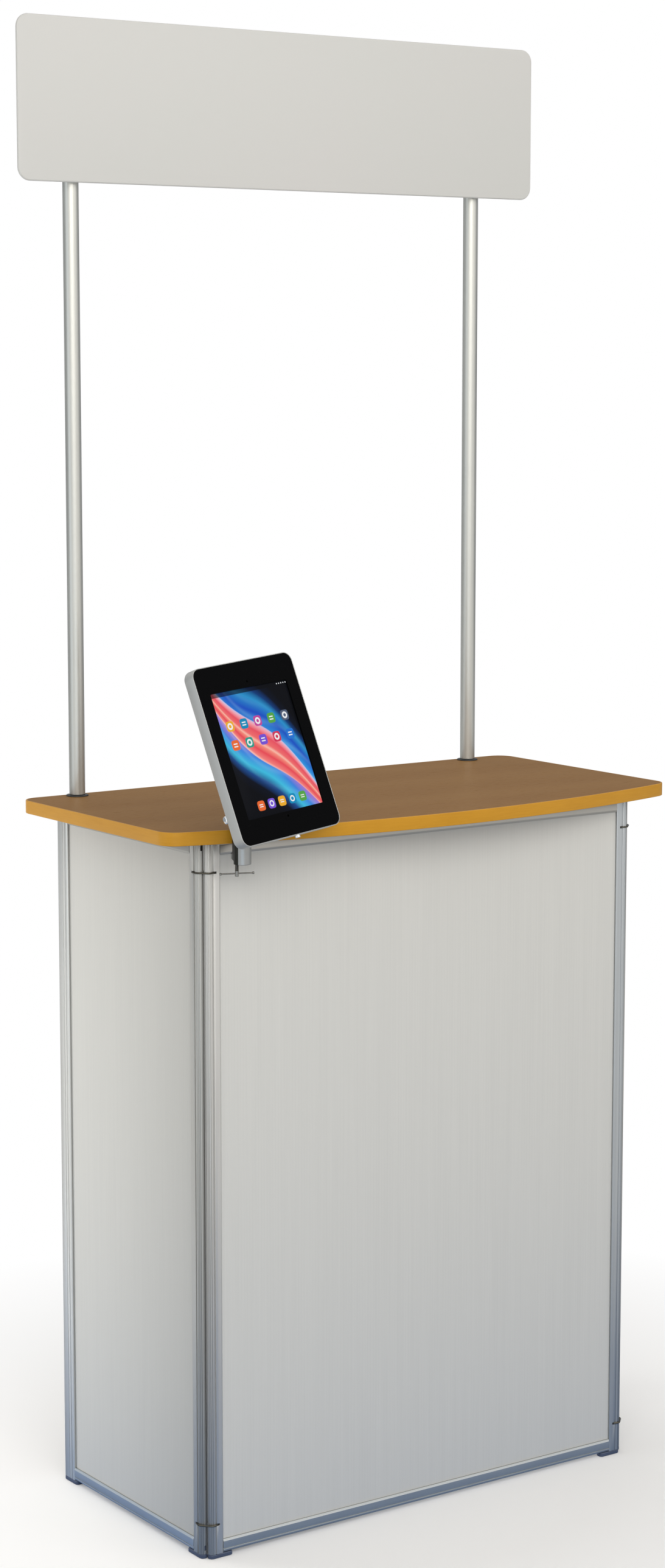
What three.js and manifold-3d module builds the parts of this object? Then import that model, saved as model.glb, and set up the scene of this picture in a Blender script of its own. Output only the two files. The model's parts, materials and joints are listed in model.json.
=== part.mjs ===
// Folding exhibition counter: three framed panels joined at the front corners by wire clip
// hinges, a bow-fronted worktop, a header board on two poles and a tablet holder clamped to
// the worktop. Millimetres, +Z up, the public side faces -Y.
import * as THREE from 'three';
import { mergeVertices } from 'three/addons/utils/BufferGeometryUtils.js';
import Module from 'manifold-3d';

const wasm = await Module();
wasm.setup();

const degree = Math.PI / 180;

// Clearances shared by all pieces
const fitGap = 0.3;
const cutOverrun = 1;
const fuseOverlap = 0.2;

// Overall width, and how far in from the worktop's ends the pieces below and on it stand
const worktopWidth = 846;
const panelEndInset = 66.5;
const poleEndInset = 82;
const clampEndInset = 95;

// Folding panels
const panelHeight = 965;
const frontPanelLength = worktopWidth - 2 * panelEndInset;
const sidePanelLength = 368;
const panelThickness = 12;
const noseRunningGap = 0.4;
const buttGap = 0.2;

// Frame extrusions: lengths run from the centre of the round nose to the infill
const channelDepth = 4.3;
const channelWall = 3;
const extrusionWall = 1.4;
const noseBoreRadius = 4.4;
const hingeStileReach = 14.5;
const rearStileReach = 24;
const hingeGrooveStarts = [3];
const rearGrooveStarts = [10.6, 16.6];
const grooveWidth = 1.2;
const grooveDepth = 1.2;
const stileLipChamfer = 0.8;
const noseRibAngles = [100, 125, 150, 180, 210, 235, 260];
const noseRibHalfAngle = 4;
const noseRibDepth = 0.45;
const railDepth = 18.5;
const railCornerRadius = 3.5;
const railGrooveStart = 4.6;
const railLipHeight = 3;
const railLipChamfer = 1.2;
const railTongueLength = 12;

// Wire clip hinges and punched slots
const wireRadius = 1.2;
const wireNoseGap = 0.25;
const clipInset = 41;
const punchedSlotWidth = 3;
const punchedSlotHeight = 8;
const punchedSlotInset = 8.5;

// Feet
const footHeight = 6;
const footLength = 36;
const footCornerRadius = 4;
const footEdge = 0.8;
const footSpigotLength = 14;

// Worktop: its overhangs are measured from the panels below
const worktopThickness = 18;
const worktopBow = 62;
const worktopSideOverhang = 6.6;
const worktopRearOverhang = 0.1;
const worktopFrontRadius = 28;
const worktopBackRadius = 25;
const bandThickness = 2;
const bandEdge = 0.8;
const bandGap = 0.15;
const pegReach = 25;
const pegTipRadius = 2.8;
const pegTipLength = 4;
const pegDowelRadius = 5;
const pegDowelDepth = 10;

// Poles with their sockets and caps
const poleBackInset = 18.5;
const poleRadius = 11;
const poleWall = 1.5;
const poleLength = 1040;
const poleChamfer = 0.7;
const collarRadius = 15.5;
const collarHeight = 1.8;
const collarEdge = 0.6;
const spigotHeight = 38;
const spigotTaper = 2;
const socketPlugRadius = 10;
const socketPlugDepth = 12;
const socketScrewRadius = 3;
const socketScrewHeadRadius = 6;
const socketScrewLength = 15;
const capPlugDepth = 12;
const capDome = 3;

// Header board and its clips
const headerWidth = 869;
const headerHeight = 218;
const headerThickness = 5;
const headerCornerRadius = 18;
const headerEdge = 2.2;
const headerRise = 12.6;
const headerStandoff = 9;
const clipHeight = 24;
const clipWall = 2.8;
const clipMouthAngle = 50;
const clipStemHalfWidth = 5;
const clipFlangeHalfWidth = 17;
const clipFlangeThickness = 2.5;
const clipEdgeInset = 22;

// Table clamp of the tablet holder
const clampPostRadius = 11.5;
const clampPostGap = 3;
const clampPostDrop = 25;
const upperJawThickness = 5;
const upperJawReach = 32;
const lowerJawTop = -13;
const lowerJawThickness = 8;
const jawHalfWidth = 9.5;
const lowerJawHalfWidth = 8;
const lowerJawEnd = 7;
const screwInset = 6.5;
const clampScrewRadius = 2.5;
const clampScrewEnd = -44.5;
const padRadius = 6;
const padThickness = 3;
const padSeatDepth = 1.5;
const tommyBarHeight = -40.5;
const tommyBarLength = 46;
const tommyBarRadius = 1;
const tommyBarEndRadius = 1.6;
const tommyBarEndLength = 2;
const tommyBarAngle = -7;

// Swivel head, tilt arm and knob
const holderYaw = 24;
const holderTilt = -20;
const swivelStubRadius = 6;
const swivelStubLength = 15;
const swivelDiscThickness = 3;
const tiltAxisHeight = 8.5;
const earThickness = 5;
const earRadius = 7;
const knuckleWidth = 11.8;
const knuckleRadius = 6.3;
const tiltPinRadius = 2.8;
const knobRadius = 5.5;
const knobLength = 20;
const knobNeckRadius = 4;
const armThickness = 5;
const armBendHeight = 38;
const armPlateRadius = 26;
const armPlateHeight = 75;
const turntableRadius = 30;
const turntableThickness = 4;
const turntableHubRadius = 8;
const turntableOffset = 9.7;
const turntableScrewHeadRadius = 11;
const turntableScrewHead = 3;
const turntableScrewRadius = 3;

// Tablet case
const caseRoll = -4;
const caseWidth = 181;
const caseHeight = 234;
const caseDepth = 18.5;
const caseCornerRadius = 13;
const caseBackEdge = 3.5;
const caseFrontDistance = 66;
const caseRim = 1;
const coverThickness = 2.2;
const windowSideBorder = 21;
const windowEndBorder = 34;
const coverWindowRise = -1.5;
const coverWindowRadius = 2;
const cameraHoleRadius = 1.4;
const cameraHoleInset = 28;
const homeHoleRadius = 1.6;
const homeHoleInset = 26.5;
const tabletSideMargin = 5.5;
const tabletEndMargin = 6;
const tabletBodyThickness = 6.8;
const tabletGlassThickness = 0.9;
const tabletCornerRadius = 9;
const tabletEdge = 1.6;
const trayLedge = 8;
const trayBackWall = 2;
const lockX = 16;
const lockRadius = 3.6;
const lockProud = 3.2;
const lockSeatDepth = 4;
const keySlotWidth = 0.9;
const keySlotLength = 4;
const keySlotDepth = 1.4;

// Facet counts
const noseSteps = 32;
const boreSteps = 16;
const roundSteps = 24;
const smallRoundSteps = 12;
const cornerSteps = 6;
const bowSteps = 20;
const domeSteps = 3;
const wireSides = 6;
const wireSteps = 20;

// Derived sizes
const noseRadius = panelThickness / 2;
const channelHalfWidth = noseRadius - channelWall;
const noseSpacing = panelThickness + noseRunningGap;
const noseOffset = noseSpacing / Math.SQRT2;
const bodyHalfDepth = (sidePanelLength + noseOffset) / 2;
const frontNoseX = frontPanelLength / 2 - noseRadius;
const frontNoseY = -bodyHalfDepth + noseRadius;
const sideNoseX = frontNoseX + noseOffset;
const sideNoseY = frontNoseY + noseOffset;
const wireLoopRadius = noseRadius + wireNoseGap + wireRadius;
const windowOuter = wireLoopRadius + wireRadius + fitGap;
const windowHeight = 2 * (wireRadius + fitGap);
const tongueReach = channelDepth - fitGap;
const worktopUnderside = footHeight + panelHeight + fitGap;
const worktopSideFront = -bodyHalfDepth - worktopSideOverhang;
const worktopBack = bodyHalfDepth + worktopRearOverhang;
const poleX = worktopWidth / 2 - poleEndInset;
const poleY = worktopBack - poleBackInset;
const poleBottom = worktopThickness + collarHeight + fitGap;
const spigotRadius = poleRadius - poleWall - fitGap;
const headerTop = poleBottom + poleLength + headerRise;
const clampEdgeX = clampEndInset - worktopWidth / 2;
const coverWindowWidth = caseWidth - 2 * windowSideBorder;
const coverWindowHeight = caseHeight - 2 * windowEndBorder;
const tabletWidth = caseWidth - 2 * tabletSideMargin;
const tabletHeight = caseHeight - 2 * tabletEndMargin;

// Materials with the colours of the photograph
function finish(colour, roughness, metalness) {
  return () => new THREE.MeshStandardMaterial({ color: colour, roughness, metalness });
}
const aluminium = finish(0xb9bab6, 0.35, 1);
const infillBoard = finish(0xc8c6c1, 0.7, 0);
const blackPlastic = finish(0x17181a, 0.5, 0);
const darkWire = finish(0x4a4a45, 0.4, 1);
const laminate = finish(0x8b6d4b, 0.4, 0);
const amberBand = finish(0xc4902d, 0.35, 0);
const steel = finish(0xa8a8a6, 0.3, 1);
const chrome = finish(0xd8d8d8, 0.1, 1);
const headerWhite = finish(0xd6d6d1, 0.5, 0);
const satinSilver = finish(0xb4b6b8, 0.4, 0.6);
const glossBlack = finish(0x070708, 0.12, 0);
const screenGlass = finish(0x101828, 0.08, 0);

// Points along an arc about a centre
function arc(radius, from, to, steps, centreX = 0, centreY = 0) {
  const points = [];
  for (let i = 0; i <= steps; i += 1) {
    const angle = (from + (to - from) * i / steps) * degree;
    points.push(new THREE.Vector2(centreX + radius * Math.cos(angle), centreY + radius * Math.sin(angle)));
  }
  return points;
}

function point(x, y) {
  return new THREE.Vector2(x, y);
}

function shapeOf(points, holes = []) {
  const shape = new THREE.Shape(points);
  for (const hole of holes) shape.holes.push(new THREE.Path(hole));
  return shape;
}

function circle(radius, steps, x = 0, y = 0) {
  return arc(radius, 0, 360 * (steps - 1) / steps, steps - 1, x, y);
}

// A rectangle with rounded corners, centred on x and y
function roundedRectangle(width, height, radius, x = 0, y = 0) {
  const right = width / 2 - radius;
  const top = height / 2 - radius;
  return [
    ...arc(radius, 0, 90, cornerSteps, x + right, y + top),
    ...arc(radius, 90, 180, cornerSteps, x - right, y + top),
    ...arc(radius, 180, 270, cornerSteps, x - right, y - top),
    ...arc(radius, 270, 360, cornerSteps, x + right, y - top),
  ];
}

function rectangle(left, right, bottom, top) {
  return [point(left, bottom), point(right, bottom), point(right, top), point(left, top)];
}

// A closed geometry as a solid that can be cut and joined
function solid(geometry) {
  const bare = geometry.clone();
  bare.deleteAttribute('normal');
  bare.deleteAttribute('uv');
  const merged = mergeVertices(bare);
  return new wasm.Manifold(new wasm.Mesh({
    numProp: 3,
    vertProperties: new Float32Array(merged.attributes.position.array),
    triVerts: new Uint32Array(merged.index.array),
  }));
}

function geometryOf(manifold) {
  const mesh = manifold.getMesh();
  const geometry = new THREE.BufferGeometry();
  geometry.setAttribute('position', new THREE.BufferAttribute(mesh.vertProperties, 3));
  geometry.setIndex(new THREE.BufferAttribute(mesh.triVerts, 1));
  const flat = geometry.toNonIndexed();
  flat.computeVertexNormals();
  return flat;
}

// An outline drawn out along +Z from a start height
function prism(points, from, to, holes = []) {
  const geometry = new THREE.ExtrudeGeometry(shapeOf(points, holes), { depth: to - from, bevelEnabled: false });
  return solid(geometry.translate(0, 0, from));
}

// The same with both ends rounded over inside the outline
function softPrism(points, from, to, edge, segments = 2) {
  const geometry = new THREE.ExtrudeGeometry(shapeOf(points), {
    depth: to - from - 2 * edge,
    bevelEnabled: true,
    bevelThickness: edge,
    bevelSize: edge,
    bevelOffset: -edge,
    bevelSegments: segments,
  });
  return solid(geometry.translate(0, 0, from + edge));
}

function cylinder(radius, from, to, steps = roundSteps) {
  const geometry = new THREE.CylinderGeometry(radius, radius, to - from, steps);
  return solid(geometry.rotateX(90 * degree).translate(0, 0, (from + to) / 2));
}

function turned(points, steps = roundSteps) {
  return solid(new THREE.LatheGeometry(points, steps).rotateX(90 * degree));
}

// Frames that lay a drawn outline along another axis: drawn x, y and z go to these axes
const axisX = new THREE.Vector3(1, 0, 0);
const axisY = new THREE.Vector3(0, 1, 0);
const axisZ = new THREE.Vector3(0, 0, 1);
const alongX = new THREE.Matrix4().makeBasis(axisY, axisZ, axisX);
const facingFront = new THREE.Matrix4().makeBasis(axisX, axisZ, axisY.clone().negate());

function laid(manifold, matrix) {
  return manifold.transform(matrix.elements);
}

function shifted(manifold, x, y, z) {
  return manifold.translate([x, y, z]);
}

function addPiece(group, name, manifold, material) {
  const mesh = new THREE.Mesh(geometryOf(manifold), material());
  mesh.name = name;
  group.add(mesh);
}

// Frame extrusions

// The ribbed round nose, from one side of the panel round its tip to the other
function nosePoints(startAngle) {
  const points = [];
  let from = startAngle;
  const notches = noseRibAngles.filter((angle) => angle > startAngle + noseRibHalfAngle);
  for (const angle of notches) {
    if (angle > 360 - startAngle - noseRibHalfAngle) break;
    const steps = Math.max(1, Math.round(noseSteps * (angle - from) / 360));
    points.push(...arc(noseRadius, from, angle - noseRibHalfAngle, steps));
    points.push(...arc(noseRadius - noseRibDepth, angle, angle, 1).slice(1));
    from = angle + noseRibHalfAngle;
  }
  const steps = Math.round(noseSteps * (360 - startAngle - from) / 360);
  points.push(...arc(noseRadius, from, 360 - startAngle, steps));
  return points;
}

// One side of the stile outline: flats parted by grooves, then the lip and its channel
function stileSide(grooveStarts, reach) {
  const points = [];
  for (const start of grooveStarts) {
    if (start >= noseRadius) points.push(point(start, noseRadius));
    points.push(point(start, noseRadius - grooveDepth));
    points.push(point(start + grooveWidth, noseRadius - grooveDepth));
    points.push(point(start + grooveWidth, noseRadius));
  }
  points.push(point(reach - 2 * stileLipChamfer, noseRadius));
  points.push(point(reach, noseRadius - stileLipChamfer));
  points.push(point(reach, channelHalfWidth));
  points.push(point(reach - channelDepth, channelHalfWidth));
  return points;
}

function mirrored(points) {
  return points.map((p) => point(p.x, -p.y)).reverse();
}

function stileOutline(grooveStarts, reach) {
  const first = grooveStarts[0];
  const startAngle = first < noseRadius ? Math.acos(first / noseRadius) / degree : 90;
  const side = stileSide(grooveStarts, reach);
  return [...nosePoints(startAngle), ...mirrored(side).reverse(), ...[...side].reverse()];
}

// Hollow chambers between the nose bore and the infill channel
function stileHoles(reach) {
  const chamberHalf = noseRadius - grooveDepth - extrusionWall;
  const chamberStart = noseBoreRadius + extrusionWall;
  const chamberEnd = reach - channelDepth - extrusionWall;
  return [circle(noseBoreRadius, boreSteps), rectangle(chamberStart, chamberEnd, -chamberHalf, chamberHalf)];
}

// The window that lets a wire clip pass round the nose at every angle of the fold
function clipWindow(height) {
  const from = height - windowHeight / 2;
  const to = height + windowHeight / 2;
  const block = prism(rectangle(0, windowOuter, -panelThickness, panelThickness), from, to);
  return block.subtract(cylinder(noseRadius + wireNoseGap / 2, from - cutOverrun, to + cutOverrun));
}

// An oval slot punched through the tip of the nose into its bore
function punchedSlot(height) {
  const straight = punchedSlotHeight - punchedSlotWidth;
  const oval = roundedRectangle(punchedSlotWidth, punchedSlotWidth + straight, punchedSlotWidth / 2);
  return shifted(laid(prism(oval, 0, panelThickness), alongX), -panelThickness, 0, height);
}

function hingeStile(punched) {
  let stile = prism(stileOutline(hingeGrooveStarts, hingeStileReach), 0, panelHeight, stileHoles(hingeStileReach));
  for (const height of [clipInset, panelHeight - clipInset]) stile = stile.subtract(clipWindow(height));
  if (!punched) return stile;
  for (const height of [punchedSlotInset, panelHeight - punchedSlotInset]) {
    stile = stile.subtract(punchedSlot(height));
  }
  return stile;
}

function rearStile() {
  return prism(stileOutline(rearGrooveStarts, rearStileReach), 0, panelHeight, stileHoles(rearStileReach));
}

// One side of the rail outline, from the outer corner up to the infill channel
function railSide() {
  const corner = noseRadius - railCornerRadius;
  return [
    ...arc(railCornerRadius, 270, 360, cornerSteps / 2, corner, railCornerRadius),
    point(noseRadius, railGrooveStart),
    point(noseRadius - grooveDepth, railGrooveStart),
    point(noseRadius - grooveDepth, railGrooveStart + grooveWidth),
    point(noseRadius, railGrooveStart + grooveWidth),
    point(noseRadius, railDepth - railLipHeight),
    point(noseRadius - railLipChamfer, railDepth),
    point(channelHalfWidth, railDepth),
    point(channelHalfWidth, railDepth - channelDepth),
  ];
}

// A rail drawn along X with a tongue at each end for the channels of the stiles
function rail(length) {
  const side = railSide();
  const outline = [...side, ...side.map((p) => point(-p.x, p.y)).reverse()];
  const half = noseRadius - grooveDepth - extrusionWall;
  const low = extrusionWall + fuseOverlap;
  const high = railDepth - channelDepth - extrusionWall;
  let body = prism(outline, 0, length, [rectangle(-half, half, low, high)]);
  const tongueHalf = channelHalfWidth - fitGap;
  const tongue = rectangle(-tongueHalf, tongueHalf, low - fuseOverlap, high + fuseOverlap);
  body = body.add(prism(tongue, -tongueReach, railTongueLength));
  body = body.add(prism(tongue, length - railTongueLength, length + tongueReach));
  return laid(body, alongX);
}

function infill(left, right) {
  const half = channelHalfWidth - fitGap;
  const low = railDepth - tongueReach;
  return prism(rectangle(left - tongueReach, right + tongueReach, -half, half), low, panelHeight - low);
}

// A foot that follows the nose and plugs into its bore
function foot() {
  const end = footLength - noseRadius;
  const side = noseRadius - footCornerRadius;
  const outline = [
    ...arc(noseRadius, 90, 270, smallRoundSteps),
    ...arc(footCornerRadius, 270, 360, cornerSteps / 2, end - footCornerRadius, -side),
    ...arc(footCornerRadius, 0, 90, cornerSteps / 2, end - footCornerRadius, side),
  ];
  const plate = softPrism(outline, -footHeight, -fitGap, footEdge, 1);
  return plate.add(cylinder(noseBoreRadius - fitGap, -footHeight / 2, footSpigotLength, boreSteps));
}

// One framed panel along +X from the centre of its first nose
function framedPanel(panel, length, near, far) {
  const group = new THREE.Group();
  const noseToNose = length - 2 * noseRadius;
  const left = near.reach;
  const right = noseToNose - far.reach;
  addPiece(group, `${panel}_${near.name}_stile`, near.make(), aluminium);
  const turnedStile = far.make().rotate([0, 0, 180]);
  addPiece(group, `${panel}_${far.name}_stile`, shifted(turnedStile, noseToNose, 0, 0), aluminium);
  const railBody = rail(right - left - 2 * buttGap);
  addPiece(group, `${panel}_bottom_rail`, shifted(railBody, left + buttGap, 0, 0), aluminium);
  const topRail = railBody.rotate([180, 0, 0]);
  addPiece(group, `${panel}_top_rail`, shifted(topRail, left + buttGap, 0, panelHeight), aluminium);
  addPiece(group, `${panel}_infill`, infill(left, right), infillBoard);
  addPiece(group, `${panel}_${near.name}_foot`, foot(), blackPlastic);
  const turnedFoot = foot().rotate([0, 0, 180]);
  addPiece(group, `${panel}_${far.name}_foot`, shifted(turnedFoot, noseToNose, 0, 0), blackPlastic);
  return group;
}

function hingeEnd(name, punched) {
  return { name, reach: hingeStileReach, make: () => hingeStile(punched) };
}

function rearEnd() {
  return { name: 'rear', reach: rearStileReach, make: rearStile };
}

// A wire ring stretched to the length of two noses side by side
function wireClip(directionX) {
  const ring = new THREE.TorusGeometry(wireLoopRadius, wireRadius, wireSides, wireSteps);
  ring.rotateZ(180 * degree / wireSteps);
  const place = ring.attributes.position;
  for (let i = 0; i < place.count; i += 1) {
    place.setX(i, place.getX(i) + Math.sign(place.getX(i)) * noseSpacing / 2);
  }
  return solid(ring).rotate([0, 0, directionX < 0 ? 135 : 45]);
}

function panels() {
  const group = new THREE.Group();
  group.position.z = footHeight;
  const front = framedPanel('front_panel', frontPanelLength, hingeEnd('left', false), hingeEnd('right', false));
  front.position.set(-frontNoseX, frontNoseY, 0);
  group.add(front);
  for (const [side, sign] of [['left', -1], ['right', 1]]) {
    const panel = framedPanel(`${side}_panel`, sidePanelLength, hingeEnd('front', true), rearEnd());
    panel.position.set(sign * sideNoseX, sideNoseY, 0);
    panel.rotation.z = 90 * degree;
    group.add(panel);
    for (const [level, height] of [['bottom', clipInset], ['top', panelHeight - clipInset]]) {
      const clip = new THREE.Group();
      const middleX = sign * (frontNoseX + sideNoseX) / 2;
      clip.position.set(middleX, (frontNoseY + sideNoseY) / 2, height);
      addPiece(clip, `${side}_${level}_wire_clip`, wireClip(sign), darkWire);
      group.add(clip);
    }
  }
  return group;
}

// Worktop

const worktopHalfWidth = worktopWidth / 2;
const bowRadius = (worktopHalfWidth ** 2 + worktopBow ** 2) / (2 * worktopBow);
const bowCentreY = worktopSideFront - worktopBow + bowRadius;

// Front edge of the worktop at a given place across it
function worktopEdgeY(x) {
  return bowCentreY - Math.sqrt(bowRadius ** 2 - x ** 2);
}

// The outline, drawn in by an inset: bowed front, straight sides and back, round corners
function worktopOutline(inset) {
  const side = worktopHalfWidth - inset;
  const radius = bowRadius - inset;
  const frontCorner = worktopFrontRadius - inset;
  const backCorner = worktopBackRadius - inset;
  const cornerX = side - frontCorner;
  const cornerY = bowCentreY - Math.sqrt((radius - frontCorner) ** 2 - cornerX ** 2);
  const meet = Math.atan2(cornerX, bowCentreY - cornerY) / degree;
  const backY = worktopBack - inset - backCorner;
  const backX = side - backCorner;
  return [
    ...arc(frontCorner, meet - 90, 0, cornerSteps, cornerX, cornerY),
    ...arc(backCorner, 0, 90, cornerSteps, backX, backY),
    ...arc(backCorner, 90, 180, cornerSteps, -backX, backY),
    ...arc(frontCorner, 180, 270 - meet, cornerSteps, -cornerX, cornerY),
    ...arc(radius, 270 - meet, 270 + meet, bowSteps, 0, bowCentreY).slice(1, -1),
  ];
}

function worktopBoard() {
  let board = prism(worktopOutline(bandThickness + bandGap), 0, worktopThickness);
  for (const sign of [-1, 1]) {
    const dowelHole = cylinder(pegDowelRadius + fitGap, -cutOverrun, pegDowelDepth + fitGap, boreSteps);
    board = board.subtract(shifted(dowelHole, sign * frontNoseX, frontNoseY, 0));
    const socketHole = cylinder(
      socketPlugRadius + fitGap, worktopThickness - socketPlugDepth - fitGap, worktopThickness + cutOverrun,
    );
    const screwHole = cylinder(socketScrewRadius + fitGap, -cutOverrun, worktopThickness, boreSteps);
    const head = socketScrewHeadRadius + 2 * fitGap;
    const countersink = turned([
      point(0, -head), point(head, -head), point(head, 0), point(0, head),
    ]);
    const holes = socketHole.add(screwHole).add(countersink);
    board = board.subtract(shifted(holes, sign * poleX, poleY, 0));
  }
  return board;
}

function edgeBand() {
  const outer = softPrism(worktopOutline(0), 0, worktopThickness, bandEdge);
  return outer.subtract(prism(worktopOutline(bandThickness), -cutOverrun, worktopThickness + cutOverrun));
}

// A round peg under the worktop that drops into the hollow nose of the front panel
function locatingPeg() {
  const radius = noseBoreRadius - fitGap;
  return turned([
    point(0, -pegReach),
    point(pegTipRadius, -pegReach),
    point(radius, -pegReach + pegTipLength),
    point(radius, fitGap),
    point(pegDowelRadius, fitGap),
    point(pegDowelRadius, pegDowelDepth),
    point(0, pegDowelDepth),
  ], boreSteps);
}

// A black collar with a plug in the worktop and a spigot up inside the pole
function poleSocket() {
  const top = worktopThickness;
  const flange = top + collarHeight;
  const body = turned([
    point(0, top - socketPlugDepth),
    point(socketPlugRadius, top - socketPlugDepth),
    point(socketPlugRadius, top + fitGap / 2),
    point(collarRadius, top + fitGap / 2),
    point(collarRadius, flange - collarEdge),
    point(collarRadius - collarEdge, flange),
    point(spigotRadius, flange),
    point(spigotRadius, flange + spigotHeight - spigotTaper),
    point(spigotRadius - spigotTaper, flange + spigotHeight),
    point(0, flange + spigotHeight),
  ]);
  const screwTop = fitGap + socketScrewLength;
  return body.subtract(cylinder(socketScrewRadius + fitGap, 0, screwTop + fitGap, boreSteps));
}

function socketScrew() {
  const headDepth = socketScrewHeadRadius - socketScrewRadius;
  return turned([
    point(0, fitGap),
    point(socketScrewHeadRadius, fitGap),
    point(socketScrewRadius, fitGap + headDepth),
    point(socketScrewRadius, fitGap + socketScrewLength),
    point(0, fitGap + socketScrewLength),
  ], boreSteps);
}

function pole() {
  const inner = poleRadius - poleWall;
  return turned([
    point(inner, 0),
    point(poleRadius - poleChamfer, 0),
    point(poleRadius, poleChamfer),
    point(poleRadius, poleLength - poleChamfer),
    point(poleRadius - poleChamfer, poleLength),
    point(inner, poleLength),
    point(inner, 0),
  ]);
}

function poleCap() {
  const base = poleLength + fitGap;
  const plug = poleRadius - poleWall - fitGap;
  const domeRadius = (poleRadius ** 2 + capDome ** 2) / (2 * capDome);
  const domeAngle = Math.asin(poleRadius / domeRadius) / degree;
  const dome = arc(domeRadius, 90 - domeAngle, 90, domeSteps, 0, base + capDome - domeRadius);
  return turned([point(0, base - capPlugDepth), point(plug, base - capPlugDepth), point(plug, base), ...dome]);
}

function headerBoard() {
  const outline = roundedRectangle(headerWidth, headerHeight, headerCornerRadius);
  return laid(softPrism(outline, 0, headerThickness, headerEdge), facingFront);
}

// A snap clip: a split ring round the pole, a stem and a flange on the back of the board
function poleClip() {
  const inner = poleRadius + fitGap;
  const outer = inner + clipWall;
  const back = -(poleRadius + headerStandoff) + fitGap;
  const stemAngle = Math.acos(clipStemHalfWidth / outer) / degree;
  const half = [
    point(clipStemHalfWidth, back + clipFlangeThickness),
    point(clipFlangeHalfWidth, back + clipFlangeThickness),
    point(clipFlangeHalfWidth, back),
  ];
  const outline = [
    ...arc(outer, 90 - clipMouthAngle, -stemAngle, roundSteps / 2),
    ...half,
    ...half.map((p) => point(-p.x, p.y)).reverse(),
    ...arc(outer, 180 + stemAngle, 90 + clipMouthAngle, roundSteps / 2),
    ...arc(inner, 90 + clipMouthAngle, 450 - clipMouthAngle, roundSteps),
  ];
  return prism(outline.reverse(), 0, clipHeight);
}

function header() {
  const group = new THREE.Group();
  const boardFront = poleY - poleRadius - headerStandoff;
  const board = shifted(headerBoard(), 0, boardFront, headerTop - headerHeight / 2);
  addPiece(group, 'header_board', board, headerWhite);
  for (const [side, sign] of [['left', -1], ['right', 1]]) {
    const bottom = headerTop - headerHeight + clipEdgeInset;
    const top = headerTop - clipEdgeInset - clipHeight;
    for (const [level, height] of [['lower', bottom], ['upper', top]]) {
      addPiece(group, `${side}_${level}_pole_clip`, shifted(poleClip(), sign * poleX, poleY, height), blackPlastic);
    }
  }
  return group;
}

// Tablet holder

// The clamp stands square to the bowed edge, with its screw just inside it
const clampAngle = Math.asin(clampEdgeX / bowRadius);
const clampStandoff = clampPostGap + clampPostRadius;
const clampX = clampEdgeX + clampStandoff * Math.sin(clampAngle);
const clampY = worktopEdgeY(clampEdgeX) - clampStandoff * Math.cos(clampAngle);
const screwY = clampStandoff + screwInset;
const upperJawTop = worktopThickness + fitGap + upperJawThickness;
const lowerJawBottom = lowerJawTop - lowerJawThickness;

// A tongue that reaches back from the post and ends in a half round
function tongueOutline(halfWidth, reach) {
  return [point(-halfWidth, 0), point(halfWidth, 0), ...arc(halfWidth, 0, 180, roundSteps / 2, 0, reach - halfWidth)];
}

function clampBody() {
  const post = cylinder(clampPostRadius, -clampPostDrop, upperJawTop);
  const spineBack = clampPostRadius + clampPostGap / 2;
  const spine = prism(rectangle(-jawHalfWidth, jawHalfWidth, 0, spineBack), lowerJawBottom, upperJawTop);
  const upperJaw = prism(tongueOutline(jawHalfWidth, upperJawReach), worktopThickness + fitGap, upperJawTop);
  const lowerJaw = prism(tongueOutline(lowerJawHalfWidth, screwY + lowerJawEnd), lowerJawBottom, lowerJawTop);
  const stubBore = cylinder(
    swivelStubRadius + fitGap, upperJawTop - swivelStubLength - 2 * fitGap, upperJawTop + cutOverrun, boreSteps,
  );
  const screwHole = cylinder(
    clampScrewRadius + fitGap, lowerJawBottom - cutOverrun, lowerJawTop + cutOverrun, smallRoundSteps,
  );
  return post.add(spine).add(upperJaw).add(lowerJaw).subtract(stubBore).subtract(shifted(screwHole, 0, screwY, 0));
}

function clampPad() {
  const top = -fitGap;
  const seat = cylinder(clampScrewRadius + fitGap, top - padThickness - cutOverrun, top - padThickness + padSeatDepth);
  return cylinder(padRadius, top - padThickness, top).subtract(seat);
}

function clampScrew() {
  const top = -fitGap - padThickness + padSeatDepth - fitGap;
  const rod = cylinder(clampScrewRadius, clampScrewEnd, top, smallRoundSteps);
  const eye = laid(
    cylinder(tommyBarRadius + fitGap, -clampPostRadius, clampPostRadius, smallRoundSteps / 2), alongX,
  );
  return rod.subtract(shifted(eye.rotate([0, 0, tommyBarAngle]), 0, 0, tommyBarHeight));
}

function tommyBar() {
  const half = tommyBarLength / 2;
  const waist = half - tommyBarEndLength;
  const bar = turned([
    point(0, -half),
    point(tommyBarEndRadius, -half),
    point(tommyBarEndRadius, -waist),
    point(tommyBarRadius, -waist),
    point(tommyBarRadius, waist),
    point(tommyBarEndRadius, waist),
    point(tommyBarEndRadius, half),
    point(0, half),
  ], smallRoundSteps / 2);
  return laid(bar, alongX).rotate([0, 0, tommyBarAngle]);
}

const swivelDiscTop = upperJawTop + fitGap + swivelDiscThickness;
const tiltAxisZ = swivelDiscTop + tiltAxisHeight;
const earInner = knuckleWidth / 2 + fitGap;
const earOuter = earInner + earThickness;

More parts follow.
